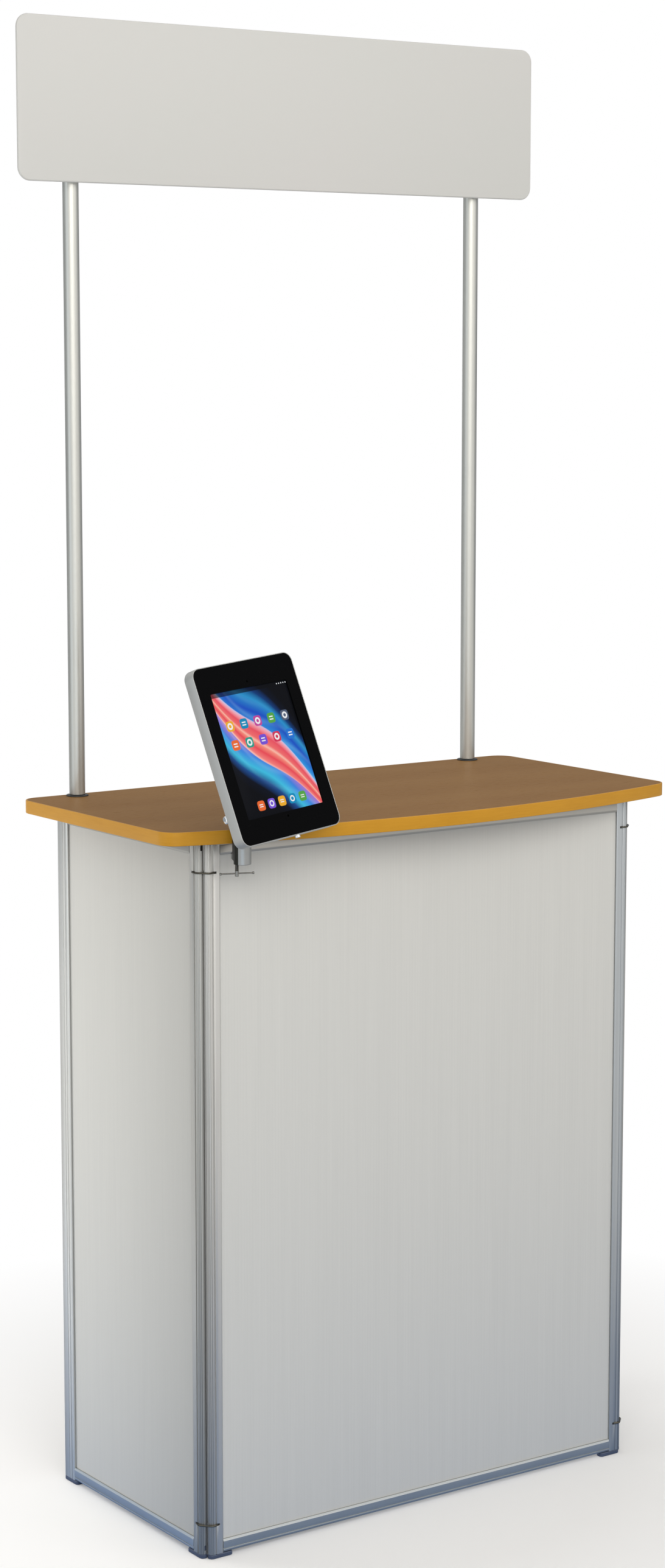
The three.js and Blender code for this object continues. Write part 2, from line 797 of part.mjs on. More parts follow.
// A turning disc with a stub below and two round-topped ears above
function swivelHead() {
  const discBottom = swivelDiscTop - swivelDiscThickness;
  const stub = cylinder(swivelStubRadius, upperJawTop - swivelStubLength, discBottom + fuseOverlap, boreSteps);
  const disc = cylinder(clampPostRadius, discBottom, swivelDiscTop);
  const earOutline = [
    point(-earRadius, -tiltAxisHeight - fuseOverlap),
    point(earRadius, -tiltAxisHeight - fuseOverlap),
    ...arc(earRadius, 0, 180, roundSteps / 2),
  ];
  let head = stub.add(disc);
  for (const from of [-earOuter, earInner]) {
    const hole = circle(tiltPinRadius + fitGap, smallRoundSteps);
    const ear = laid(prism(earOutline, from, from + earThickness, [hole]), alongX);
    head = head.add(shifted(ear, 0, 0, tiltAxisZ));
  }
  return head;
}

// A domed knob whose shank is the pin of the tilt joint
function tiltKnob() {
  const inner = -earOuter - fitGap;
  const outer = inner - knobLength;
  const neck = inner - knobLength / 4;
  const dome = arc(knobRadius, 180, 90, domeSteps, 0, 0).map((p) => point(p.y, outer + knobRadius + p.x));
  return laid(turned([
    ...dome,
    point(knobRadius, neck),
    point(knobNeckRadius, neck),
    point(knobNeckRadius, inner),
    point(tiltPinRadius, inner),
    point(tiltPinRadius, earOuter),
    point(0, earOuter),
  ], boreSteps), alongX);
}

const turntableBack = caseFrontDistance - caseDepth - fitGap - turntableThickness;
const armFront = turntableBack - fitGap;
const armBack = armFront - armThickness;

// A bent arm from the tilt knuckle up to a round plate behind the case
function tiltArm() {
  const top = armPlateHeight;
  const outerBend = new THREE.QuadraticBezierCurve(
    point(0, -knuckleRadius), point(-armFront, -knuckleRadius), point(-armFront, armBendHeight),
  );
  const innerBend = new THREE.QuadraticBezierCurve(
    point(-armBack, armBendHeight), point(-armBack, knuckleRadius), point(-knuckleRadius, knuckleRadius),
  );
  const outline = [
    ...arc(knuckleRadius, 90, -90, roundSteps / 2),
    ...outerBend.getPoints(bowSteps / 2).slice(1),
    point(-armFront, top),
    point(-armBack, top),
    ...innerBend.getPoints(bowSteps / 2),
  ];
  const half = knuckleWidth / 2;
  const hole = circle(tiltPinRadius + fitGap, smallRoundSteps);
  const bar = laid(prism(outline.reverse(), -half, half, [hole]), alongX);
  const plate = laid(cylinder(armPlateRadius, armBack, armFront), facingFront);
  const bore = laid(cylinder(turntableHubRadius + fitGap, armBack - cutOverrun, armFront + cutOverrun), facingFront);
  const placedPlate = shifted(plate, turntableOffset, 0, armPlateHeight);
  return bar.add(placedPlate).subtract(shifted(bore, turntableOffset, 0, armPlateHeight));
}

// The disc behind the case, with a hub that turns in the arm
function turntable() {
  const disc = cylinder(turntableRadius, turntableBack, turntableBack + turntableThickness);
  const hub = cylinder(turntableHubRadius, armBack, turntableBack + fuseOverlap);
  const bore = cylinder(
    turntableScrewRadius + fitGap, armBack - cutOverrun, turntableBack + turntableThickness / 2, smallRoundSteps,
  );
  return laid(disc.add(hub).subtract(bore), facingFront);
}

function turntableScrew() {
  const headTop = armBack - fitGap;
  const head = cylinder(turntableScrewHeadRadius, headTop - turntableScrewHead, headTop);
  return laid(head.add(cylinder(turntableScrewRadius, headTop - fuseOverlap, turntableBack, smallRoundSteps)), facingFront);
}

const coverWidth = caseWidth - 2 * caseRim;
const coverHeight = caseHeight - 2 * caseRim;
const recessDepth = coverThickness + fitGap;
const coverBack = caseFrontDistance - coverThickness;
const glassFront = coverBack - fitGap;
const bodyFront = glassFront - tabletGlassThickness;
const lockY = caseFrontDistance - recessDepth - (caseDepth - recessDepth) / 2;

// The silver tray: rounded at the back, with a recess for the cover, a pocket for the tablet
// and a hollow behind the tablet, which rests on the ledge round it
function caseTray() {
  const back = caseFrontDistance - caseDepth;
  const outline = roundedRectangle(caseWidth, caseHeight, caseCornerRadius);
  const block = softPrism(outline, back, caseFrontDistance + caseBackEdge, caseBackEdge);
  const front = prism(rectangle(-caseWidth, caseWidth, -caseHeight, caseHeight),
    caseFrontDistance, caseFrontDistance + 2 * caseBackEdge);
  const recess = prism(
    roundedRectangle(coverWidth, coverHeight, caseCornerRadius - caseRim),
    caseFrontDistance - recessDepth, caseFrontDistance + cutOverrun,
  );
  const pocketFloor = bodyFront - tabletBodyThickness - fitGap;
  const pocket = prism(
    roundedRectangle(tabletWidth + 2 * fitGap, tabletHeight + 2 * fitGap, tabletCornerRadius + fitGap),
    pocketFloor, caseFrontDistance + cutOverrun,
  );
  const hollow = prism(
    rectangle(trayLedge - tabletWidth / 2, tabletWidth / 2 - trayLedge, trayLedge - tabletHeight / 2,
      tabletHeight / 2 - trayLedge),
    back + trayBackWall, pocketFloor + cutOverrun,
  );
  const tray = laid(block.subtract(front).subtract(recess).subtract(pocket).subtract(hollow), facingFront);
  const lockBore = cylinder(lockRadius + fitGap, -caseHeight / 2 - cutOverrun, -caseHeight / 2 + lockSeatDepth + fitGap);
  return tray.subtract(shifted(lockBore, lockX, -lockY, 0));
}

// The black cover with its window for the screen, its camera hole and its button hole
function caseCover() {
  const outline = roundedRectangle(
    coverWidth - 2 * fitGap, coverHeight - 2 * fitGap, caseCornerRadius - caseRim - fitGap,
  );
  const holes = [
    roundedRectangle(coverWindowWidth, coverWindowHeight, coverWindowRadius, 0, coverWindowRise),
    circle(cameraHoleRadius, smallRoundSteps, 0, caseHeight / 2 - cameraHoleInset),
    circle(homeHoleRadius, smallRoundSteps, 0, -caseHeight / 2 + homeHoleInset),
  ];
  return laid(prism(outline, coverBack, caseFrontDistance, holes), facingFront);
}

function tabletBody() {
  const outline = roundedRectangle(tabletWidth, tabletHeight, tabletCornerRadius);
  const back = bodyFront - tabletBodyThickness;
  const block = softPrism(outline, back, bodyFront + tabletEdge, tabletEdge);
  const front = prism(rectangle(-tabletWidth, tabletWidth, -tabletHeight, tabletHeight),
    bodyFront - fitGap / 2, bodyFront + 2 * tabletEdge);
  return laid(block.subtract(front), facingFront);
}

function tabletGlass() {
  const outline = roundedRectangle(tabletWidth - fitGap, tabletHeight - fitGap, tabletCornerRadius);
  return laid(prism(outline, bodyFront, glassFront), facingFront);
}

function lockBarrel() {
  const bottom = -caseHeight / 2 - lockProud;
  const barrel = cylinder(lockRadius, bottom, -caseHeight / 2 + lockSeatDepth, boreSteps);
  const slot = prism(rectangle(-keySlotLength / 2, keySlotLength / 2, -keySlotWidth / 2, keySlotWidth / 2),
    bottom - cutOverrun, bottom + keySlotDepth);
  return shifted(barrel.subtract(slot), lockX, -lockY, 0);
}

function tabletCase() {
  const group = new THREE.Group();
  group.position.set(turntableOffset, 0, armPlateHeight);
  group.rotation.y = caseRoll * degree;
  addPiece(group, 'turntable', turntable(), satinSilver);
  addPiece(group, 'turntable_screw', turntableScrew(), steel);
  addPiece(group, 'case_tray', caseTray(), satinSilver);
  addPiece(group, 'tablet_body', tabletBody(), satinSilver);
  addPiece(group, 'tablet_glass', tabletGlass(), screenGlass);
  addPiece(group, 'case_cover', caseCover(), glossBlack);
  addPiece(group, 'lock_barrel', lockBarrel(), chrome);
  return group;
}

function tabletHolder() {
  const group = new THREE.Group();
  group.position.set(clampX, clampY, 0);
  group.rotation.z = clampAngle;
  addPiece(group, 'clamp_body', clampBody(), satinSilver);
  const screwGroup = new THREE.Group();
  screwGroup.position.y = screwY;
  addPiece(screwGroup, 'clamp_pad', clampPad(), blackPlastic);
  addPiece(screwGroup, 'clamp_screw', clampScrew(), steel);
  const bar = new THREE.Group();
  bar.position.z = tommyBarHeight;
  addPiece(bar, 'tommy_bar', tommyBar(), steel);
  screwGroup.add(bar);
  const head = new THREE.Group();
  head.rotation.z = holderYaw * degree;
  addPiece(head, 'swivel_head', swivelHead(), satinSilver);
  const tilt = new THREE.Group();
  tilt.position.z = tiltAxisZ;
  tilt.rotation.x = holderTilt * degree;
  addPiece(tilt, 'tilt_knob', tiltKnob(), chrome);
  addPiece(tilt, 'tilt_arm', tiltArm(), satinSilver);
  tilt.add(tabletCase());
  head.add(tilt);
  group.add(screwGroup, head);
  return group;
}

function worktop() {
  const group = new THREE.Group();
  group.position.z = worktopUnderside;
  addPiece(group, 'worktop_board', worktopBoard(), laminate);
  addPiece(group, 'worktop_edge_band', edgeBand(), amberBand);
  for (const [side, sign] of [['left', -1], ['right', 1]]) {
    addPiece(group, `${side}_locating_peg`, shifted(locatingPeg(), sign * frontNoseX, frontNoseY, 0), steel);
    addPiece(group, `${side}_pole_socket`, shifted(poleSocket(), sign * poleX, poleY, 0), blackPlastic);
    addPiece(group, `${side}_socket_screw`, shifted(socketScrew(), sign * poleX, poleY, 0), steel);
    addPiece(group, `${side}_pole`, shifted(pole(), sign * poleX, poleY, poleBottom), aluminium);
    addPiece(group, `${side}_pole_cap`, shifted(poleCap(), sign * poleX, poleY, poleBottom), blackPlastic);
  }
  group.add(header(), tabletHolder());
  return group;
}

// The whole counter, standing on the floor with its outer box centred on the origin
const counter = new THREE.Group();
counter.add(panels(), worktop());
counter.updateMatrixWorld(true);
const outerBox = new THREE.Box3().setFromObject(counter, true);
const outerCentre = outerBox.getCenter(new THREE.Vector3());
counter.position.set(-outerCentre.x, -outerCentre.y, -outerBox.min.z);

export default counter;
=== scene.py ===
# %% [markdown]
# # A folding exhibition counter
#
# This lesson dresses a finished CAD model of a counter: three aluminium framed panels, a
# bow-fronted worktop, a header board on two poles and a tablet holder clamped to the
# worktop. The CAD model gives every place and size. Here each surface gets the shape of
# its edges and the finish of its material.
#
# Shapes are worked out in millimetres with numpy and put into meshes in metres.

# %% Load the fixed frame
import json
import math

import bmesh
import bpy
import numpy as np
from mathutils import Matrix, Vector

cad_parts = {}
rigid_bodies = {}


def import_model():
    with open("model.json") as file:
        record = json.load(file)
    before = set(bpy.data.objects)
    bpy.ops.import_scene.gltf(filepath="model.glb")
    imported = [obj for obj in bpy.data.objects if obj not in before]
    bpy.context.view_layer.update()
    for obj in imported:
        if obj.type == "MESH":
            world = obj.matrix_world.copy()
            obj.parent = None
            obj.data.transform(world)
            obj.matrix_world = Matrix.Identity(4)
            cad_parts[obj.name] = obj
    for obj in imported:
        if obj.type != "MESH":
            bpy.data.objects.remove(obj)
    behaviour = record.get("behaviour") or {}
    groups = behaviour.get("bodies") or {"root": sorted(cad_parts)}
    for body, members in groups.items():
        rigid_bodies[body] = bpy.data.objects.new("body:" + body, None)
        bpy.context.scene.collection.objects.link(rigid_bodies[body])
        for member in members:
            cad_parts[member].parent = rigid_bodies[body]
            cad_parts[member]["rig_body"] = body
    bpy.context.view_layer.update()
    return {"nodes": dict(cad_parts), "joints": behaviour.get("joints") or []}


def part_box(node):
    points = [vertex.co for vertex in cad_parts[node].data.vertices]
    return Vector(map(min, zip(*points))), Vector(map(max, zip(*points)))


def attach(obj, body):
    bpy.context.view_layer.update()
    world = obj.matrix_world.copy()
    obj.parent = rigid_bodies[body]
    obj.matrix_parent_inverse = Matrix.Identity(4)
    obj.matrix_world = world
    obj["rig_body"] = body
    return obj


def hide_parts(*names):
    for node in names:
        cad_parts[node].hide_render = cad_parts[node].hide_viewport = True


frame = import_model()
MM = 0.001

# %% [markdown]
# ## The camera
#
# The counter was photographed from its left front, a little above the worktop, with a long
# lens. The place and lens were worked out from the straight edges of the counter. An
# `AUTO` sensor fit measures the sensor along the long side of the picture, which is the
# upright one here.

# %% Camera
PICTURE_HEIGHT, FOCAL_PIXELS, SENSOR = 2576, 5004.1, 36.0
CAMERA_PLACE = (-2.4483, -3.4066, 1.5813)
YAW, PITCH = math.radians(34.878), math.radians(7.815)


def put_in(name, data):
    """A new object in the scene, at the origin."""
    made = bpy.data.objects.new(name, data)
    bpy.context.scene.collection.objects.link(made)
    return made


def aim(obj, place, direction):
    """Moves a camera or lamp to a place and lets it look along a direction."""
    obj.location = place
    obj.rotation_mode = "QUATERNION"
    obj.rotation_quaternion = Vector(direction).to_track_quat("-Z", "Y")


def make_camera():
    """A camera that looks along (sin yaw cos pitch, cos yaw cos pitch, -sin pitch)."""
    data = bpy.data.cameras.new("camera")
    data.sensor_fit = "AUTO"
    data.sensor_width = SENSOR
    data.lens = FOCAL_PIXELS * SENSOR / PICTURE_HEIGHT
    data.clip_end = 100
    camera = put_in("camera", data)
    level = math.cos(PITCH)
    aim(camera, CAMERA_PLACE, (math.sin(YAW) * level, math.cos(YAW) * level, -math.sin(PITCH)))
    bpy.context.scene.camera = camera
    return camera


camera = make_camera()
print("lens", round(camera.data.lens, 2), "mm")

# %% [markdown]
# ## Frames to build in
#
# The tablet holder leans, turns and rolls, so its pieces are drawn in a frame of their own:
# an origin and three axes. The joints of the CAD model say where those frames stand, so
# nothing has to be fitted by eye.

# %% Frames
def unit(vector):
    """The vector over its length."""
    vector = np.array(vector, float)
    return vector / np.linalg.norm(vector)


class Place:
    """A drawing frame: a drawn point (x, y, z) in mm goes to origin + x*X + y*Y + z*Z."""

    def __init__(self, origin, x=(1, 0, 0), y=(0, 1, 0), z=(0, 0, 1)):
        self.origin = np.array(origin, float)
        self.axes = np.array([x, y, z], float)

    def of(self, points):
        return self.origin + np.asarray(points, float) * MM @ self.axes

    def raised(self, z):
        return Place(self.of([0, 0, z]), *self.axes)


joints = {joint["name"]: joint for joint in frame["joints"]}
case_x = -unit(joints["cover_hinge"]["axis"])
case_z = unit(joints["lock_turn"]["axis"])
case = Place(joints["case_turn"]["pos_m"], case_x, np.cross(case_z, case_x), case_z)
print("case centre", np.round(case.origin, 4), "facing", np.round(-case.axes[1], 3))

# %% [markdown]
# ## Putting a shape into a mesh
#
# Every new piece ends here. Points that lie on each other are merged, which also closes
# the poles and seams of turned shapes. The faces are shaded smooth, with edges kept sharp
# where two faces meet at more than a given angle.

# %% Mesh helpers
SHARP, COINCIDENT = math.radians(32), 1e-7


def finish_mesh(mesh, sharp=SHARP):
    """Merges coincident points, makes the faces point outwards and keeps sharp edges."""
    work = bmesh.new()
    work.from_mesh(mesh)
    bmesh.ops.remove_doubles(work, verts=work.verts, dist=COINCIDENT)
    bmesh.ops.dissolve_degenerate(work, edges=work.edges, dist=COINCIDENT / 10)
    bmesh.ops.recalc_face_normals(work, faces=work.faces)
    work.to_mesh(mesh)
    work.free()
    mesh.shade_smooth()
    mesh.set_sharp_from_angle(angle=sharp)


def mesh_of(name, points, faces):
    mesh = bpy.data.meshes.new(name)
    mesh.from_pydata(points.tolist(), [], faces)
    return mesh


def piece(name, shape, place, sharp=SHARP):
    """A mesh object from a shape's drawn points and faces."""
    points, faces = shape
    mesh = mesh_of(name, place.of(points), faces)
    finish_mesh(mesh, sharp)
    return put_in(name, mesh)


print("edges stay sharp from", round(math.degrees(SHARP)), "degrees")

# %% [markdown]
# ## Taking the place of a CAD node
#
# A finished piece stands for one node of the CAD model: it rides on the body of that node,
# so it moves as the node does, and it gets the material it is given. The CAD node itself is
# left as it is and is no longer shown.


def dress(material, *objects):
    """Gives objects one material in all their slots."""
    for obj in objects:
        obj.data.materials.clear()
        obj.data.materials.append(material)


def stand_for(made, node, material):
    """Puts a piece in the place of one CAD node, on its body, with the material it is given."""
    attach(made, frame["nodes"][node]["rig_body"])
    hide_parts(node)
    dress(material, made)


# %% [markdown]
# ## Shapes as functions of two parameters
#
# Most pieces are one of three surfaces. A **turned** surface carries a profile of radius
# and height round an axis. A **ringed** surface carries a profile round a closed outline
# that knows its outward directions. A **drawn** surface carries a closed section along a
# straight line. All three are a grid of points, so one function makes the faces.

# %% Surfaces on a grid
def grid_faces(rows, columns, close_rows=False, close_columns=True):
    """Quads between neighbouring points of a rows x columns grid, numbered row by row."""
    row, column = np.indices((rows - (not close_rows), columns - (not close_columns)))
    here, below, right = row * columns, (row + 1) % rows * columns, (column + 1) % columns
    corners = [here + column, here + right, below + right, below + column]
    return np.stack(corners, -1).reshape(-1, 4).tolist()


def turned(profile, sides=64, relief=None):
    """Radius r and height z of each profile row go round the axis: (r cos a, r sin a, z).
    relief, if given, scales the radius by its value at (row, angle)."""
    profile = np.array(profile, float)
    angle = np.linspace(0, 2 * np.pi, sides, endpoint=False)
    radius = profile[:, :1] * (np.ones((1, sides)) if relief is None else relief(angle))
    height = np.broadcast_to(profile[:, 1:], radius.shape)
    points = np.stack([radius * np.cos(angle), radius * np.sin(angle), height], -1)
    return points.reshape(-1, 3), grid_faces(len(profile), sides)


def ringed(outline, profile, closed=False):
    """Each profile row (out, up) moves the outline along its outward directions by out and
    lifts it by up. A closed profile joins its last row to its first; an open one gets a lid
    at each end."""
    place, outward = outline
    profile = np.array(profile, float)
    flat = place[None] + profile[:, 0, None, None] * outward[None]
    rise = np.broadcast_to(profile[:, 1, None, None], flat.shape[:2] + (1,))
    points = np.concatenate([flat, rise], -1).reshape(-1, 3)
    rows, columns = len(profile), len(place)
    faces = grid_faces(rows, columns, close_rows=closed)
    if not closed:
        faces += [list(range(columns)), list(range((rows - 1) * columns, rows * columns))]
    return points, faces


def arc_outline(arcs):
    """Joins arcs (centre x, centre y, radius, from, to, steps), in degrees, into an outline
    of points and outward directions. Straight runs appear between one arc and the next."""
    places, directions = [], []
    for x, y, radius, start, end, steps in arcs:
        angle = np.radians(np.linspace(start, end, steps + 1))
        direction = np.stack([np.cos(angle), np.sin(angle)], -1)
        places.append(np.array([x, y]) + radius * direction)
        directions.append(direction)
    return np.concatenate(places), np.concatenate(directions)


def rounded_rectangle(width, height, radius, steps):
    """Four quarter arcs of one radius, at the corners of a rectangle round the origin."""
    right, top = width / 2 - radius, height / 2 - radius
    corners = [(right, top, 0), (-right, top, 90), (-right, -top, 180), (right, -top, 270)]
    return arc_outline([(x, y, radius, turn, turn + 90, steps) for x, y, turn in corners])


def quarter(radius, start, steps=5):
    """A quarter arc about the origin as (out, up) rows, from an angle in degrees."""
    angle = np.radians(np.linspace(start, start + 90, steps + 1))
    return np.stack([radius * np.cos(angle), radius * np.sin(angle)], -1)


def soft_plate(low, high, edge):
    """Profile of a plate's rim: an upright wall at 0, between edges rounded by edge."""
    lower = quarter(edge, -90) + [-edge, low + edge]
    upper = quarter(edge, 0) + [-edge, high - edge]
    return np.concatenate([lower, upper])


print("a ring of 4 x 3 points has", len(grid_faces(4, 3)), "faces")

# %% [markdown]
# ## Writing materials as formulas
#
# A material is easier to read as maths than as a web of nodes. `Number` wraps one socket
# and lets Python's own operators add the Math nodes, so that `mask * 0.5 + 0.2` adds two.

# %% Socket arithmetic
def math_node(operation):
    """A method that adds one Math node."""
    return lambda number, *others: number.math(operation, *others)


class Number:
    """A socket that carries a number. An expression with it adds Math nodes."""

    def __init__(self, nodes, socket):
        self.nodes, self.socket = nodes, socket

    def math(self, operation, *others, clamp=False):
        values = dict(enumerate((self, *others)))
        return self.nodes.node("Math", {"operation": operation, "use_clamp": clamp}, values)[0]

    __add__ = __radd__ = math_node("ADD")
    __sub__ = math_node("SUBTRACT")
    __mul__ = __rmul__ = math_node("MULTIPLY")
    __truediv__ = math_node("DIVIDE")
    __pow__ = math_node("POWER")
    __abs__ = math_node("ABSOLUTE")
    sine = math_node("SINE")
    floor = math_node("FLOOR")
    part = math_node("FRACT")
    most = math_node("MAXIMUM")

    def __rsub__(self, other):
        return (self * -1) + other

    def clamped(self):
        return self.math("ADD", 0.0, clamp=True)

    def above(self, edge, width):
        """0 below edge and 1 above it, with a ramp of the given width between."""
        return ((self - edge) / width + 0.5).clamped()

    def within(self, high, width):
        """1 between 0 and high, and 0 outside, with the same ramp at each end."""
        return self.above(0, width) * (high - self).above(0, width)


print("methods of a number:", [name for name in vars(Number) if not name.startswith("_")])

# %% [markdown]
# ## A tree of nodes and a material
#
# `Nodes` holds a node tree. Its `node` method takes a node's type, its settings and the
# values or links of its sockets. `Paint` is the tree of one material with its Principled
# shader, and adds the few nodes that most finishes here start from: the place on the
# object, noise, a mix of two colours, a ramp and a bump.

# %% Trees and materials
class Nodes:
    """A node tree that grows by calls."""

    def __init__(self, tree):
        self.tree = tree

    def node(self, kind, settings=None, sockets=None):
        """Adds a shader node and returns its outputs as Numbers."""
        made = self.tree.nodes.new("ShaderNode" + kind)
        for key, value in (settings or {}).items():
            setattr(made, key, value)
        for key, value in (sockets or {}).items():
            self.give(made.inputs[key], value)
        return [Number(self, socket) for socket in made.outputs]

    def give(self, socket, value):
        if isinstance(value, Number):
            self.tree.links.new(value.socket, socket)
        else:
            socket.default_value = value

    def rays(self):
        """The outputs that say what kind of ray looks at the surface, by name."""
        return {ray.socket.name: ray for ray in self.node("LightPath")}

    def mix_shaders(self, factor, first, second, output):
        mixed = self.node("MixShader", {}, {0: factor, 1: first, 2: second})[0]
        self.give(self.tree.nodes[output].inputs["Surface"], mixed)


class Paint(Nodes):
    """One material: a Principled shader, and what its sockets take over the surface."""

    def __init__(self, name, **fixed):
        self.material = bpy.data.materials.new(name)
        self.material.use_nodes = True
        super().__init__(self.material.node_tree)
        self.shader = self.tree.nodes["Principled BSDF"]
        for socket, value in fixed.items():
            self.set(socket.replace("_", " "), value)

    def set(self, socket, value):
        self.give(self.shader.inputs[socket], value)

    def place(self, stretch=(1, 1, 1)):
        """Object coordinates in metres, times a number along each axis."""
        where = self.node("TexCoord")[3]
        return self.node("Mapping", {}, {"Vector": where, "Scale": stretch})[0]

    def split(self, vector=None):
        """x, y and z of a vector, or else of the place on the object."""
        return self.node("SeparateXYZ", {}, {"Vector": vector or self.place()})

    def noise(self, scale, detail=3.0, roughness=0.5, stretch=(1, 1, 1)):
        """Noise between 0 and 1 with features of about 1 / scale, longer where stretch is
        small."""
        return self.node("TexNoise", {}, {"Vector": self.place(stretch), "Scale": scale,
                                          "Detail": detail, "Roughness": roughness})[0]

    def blend(self, factor, a, b, kind="MIX"):
        """Mixes two colours."""
        settings = {"data_type": "RGBA", "blend_type": kind, "clamp_factor": True}
        return self.node("Mix", settings, {0: factor, 6: a, 7: b})[2]

    def ramp(self, factor, stops, interpolation="LINEAR"):
        """A colour ramp through (position, colour) stops."""
        made = self.tree.nodes.new("ShaderNodeValToRGB")
        made.color_ramp.interpolation = interpolation
        while len(made.color_ramp.elements) < len(stops):
            made.color_ramp.elements.new(0.5)
        for element, (position, colour) in zip(made.color_ramp.elements, stops):
            element.position = position
            element.color = colour
        self.give(made.inputs["Fac"], factor)
        return Number(self, made.outputs["Color"])

    def bump(self, height, strength, distance=0.001):
        """Feeds a height to the shader's normal. distance is the height of 1, in metres."""
        sockets = {"Height": height, "Strength": strength, "Distance": distance}
        self.set("Normal", self.node("Bump", {}, sockets)[0])


def tone(red, green, blue):
    """A colour as it looks on screen, 0 to 255, as the shader's linear numbers."""
    screen = np.array([red, green, blue]) / 255
    linear = np.where(screen <= 0.04045, screen / 12.92, ((screen + 0.055) / 1.055) ** 2.4)
    return (*linear.tolist(), 1.0)


print("mid grey as linear:", np.round(tone(128, 128, 128)[0], 3))

# %% [markdown]
# ## Satin anodised aluminium
#
# The frame profiles and poles are extruded, etched and anodised. The die leaves faint
# lines along the length, the etch makes the sheen satin, and handling leaves cloudy
# patches. The lines are noise stretched along the length of the profile, so there is one
# material for each direction. Some profiles get a tone of their own, which is painted light
# and shade: the top rails are greyer as painted shade under the worktop, the bottom rails
# of the sides and two stiles are paler as painted light, and the front right stile is
# deeper as painted shade. Shade is also painted into the grooves and over the noses: the
# meshes carry an attribute that is 1 at the bottom of a groove, and the finish is darker
# there.

# %% Aluminium finishes
DIE_LINES = 0.004


def satin_aluminium(name, along, colour=tone(204, 203, 198), metallic=0.85):
    """along is 0, 1 or 2: the axis that the profile is drawn along."""
    paint = Paint(name, Metallic=metallic, Roughness=0.34)
    stretch = [1.0, 1.0, 1.0]
    stretch[along] = DIE_LINES
    lines = paint.noise(1400.0, 2.0, stretch=stretch)
    clouds = paint.noise(9.0, 4.0, 0.6)
    grain = paint.noise(2600.0, 1.0)
    darker = tuple(c * 0.8 for c in colour[:3]) + (1.0,)
    body = paint.blend(lines * 0.55 + clouds * 0.35, darker, colour)
    # Painted shade: the finish is darker in the grooves and over the noses.
    groove = paint.node("Attribute", {"attribute_name": "groove"})[2]
    paint.set("Base Color", paint.blend(groove * 0.45, body, tone(52, 54, 50)))
    paint.set("Roughness", 0.29 + lines * 0.1 + clouds * 0.12)
    paint.bump(lines * 0.7 + grain * 0.3, 0.25, 0.00004)
    return paint.material


# Top rails are greyer as painted shade; side bottom rails are paler as painted light.
rails = {("bottom", 0): satin_aluminium("satin_aluminium_along_x", 0, tone(204, 207, 206)),
         ("bottom", 1): satin_aluminium("satin_aluminium_along_y_painted_light", 1, tone(214, 221, 226)),
         ("top", 0): satin_aluminium("satin_aluminium_top_x_painted_shade", 0, tone(184, 181, 174)),
         ("top", 1): satin_aluminium("satin_aluminium_top_y_painted_shade", 1, tone(190, 188, 182))}
plain_stile = satin_aluminium("satin_aluminium_along_z", 2)
# Three stiles get tones of their own as painted light and shade: two paler, one deeper and bluer.
stile_light_and_shade = {
    "left_panel_rear_stile": satin_aluminium("satin_aluminium_painted_light", 2, tone(242, 242, 238)),
    "front_panel_left_stile": satin_aluminium("satin_aluminium_corner_painted_light", 2, tone(219, 217, 212)),
    "front_panel_right_stile": satin_aluminium("satin_aluminium_painted_shade", 2, tone(192, 196, 198))}
pole_aluminium = satin_aluminium("bright_pole_aluminium", 2, tone(199, 199, 193), 0.9)
print("lots of rails:", len(rails), "and of stiles:", len(stile_light_and_shade) + 1)

# %% [markdown]
# ## The infill boards
#
# Each panel is filled with a twin-walled plastic board. Its inner ribs run upright and show
# through the skin as fine lines, some a little darker than others, and the skin sinks
# slightly between them. The sinking is real geometry further on. The material adds the
# shadow of the ribs, the milky unevenness of the skin and its soft sheen. The side boards
# get painted shade that greys them toward the front corner.

# %% Infill board finish
RIB_PITCH = 4.6
FRONT_PLANE, SHADE_REACH = 0.12, 0.36  # metres


def twin_wall(name, across, pale, deep, corner_shade=0.0):
    """across is the axis that crosses the ribs: 0 for the front board, 1 for the sides.
    The last argument is painted shade: it greys a side board toward its front edge, by the
    square of the way there."""
    paint = Paint(name, Roughness=0.5, Specular_IOR_Level=0.35)
    axes = paint.split()
    line = abs((axes[across] / (RIB_PITCH * MM)).part() - 0.5) * 2
    streaks = paint.noise(150.0, 4.0, 0.7, stretch=(1.0, 1.0, 0.02))
    clouds = paint.noise(3.0, 3.0)
    patches = paint.noise(42.0, 2.0, stretch=(1.0, 1.0, 0.12)).above(0.5, 0.35)
    shade = line.above(0.86, 0.2) * streaks * patches * 0.32 + (1 - streaks) * 0.42
    body = paint.blend(shade, pale, deep)
    skin = paint.blend(clouds * 0.25, body, tone(206, 207, 205))
    # Painted shade: a side board greys toward its front corner.
    near_front = (1 - (axes[1] + FRONT_PLANE) / SHADE_REACH).clamped()
    paint.set("Base Color", paint.blend(near_front * near_front * corner_shade, skin, tone(128, 128, 124)))
    paint.set("Roughness", 0.42 + streaks * 0.16)
    paint.bump(line.above(0.8, 0.3) * -0.5 + streaks, 0.2, 0.00015)
    return paint.material


board_front = twin_wall("infill_board_front", 0, tone(216, 215, 210), tone(190, 190, 186))
board_side = twin_wall("infill_board_side", 1, tone(210, 209, 203), tone(186, 186, 182), 0.34)
print("ribs every", RIB_PITCH, "mm")

# %% [markdown]
# ## The laminate top and its amber edging
#
# The top is a brown wood-print laminate with a fine hammered satin skin. The figure is
# long noise along the board, bent a little by broader noise, with short dark pores. The
# edging is a bright amber plastic strip with a faint grain along its length.

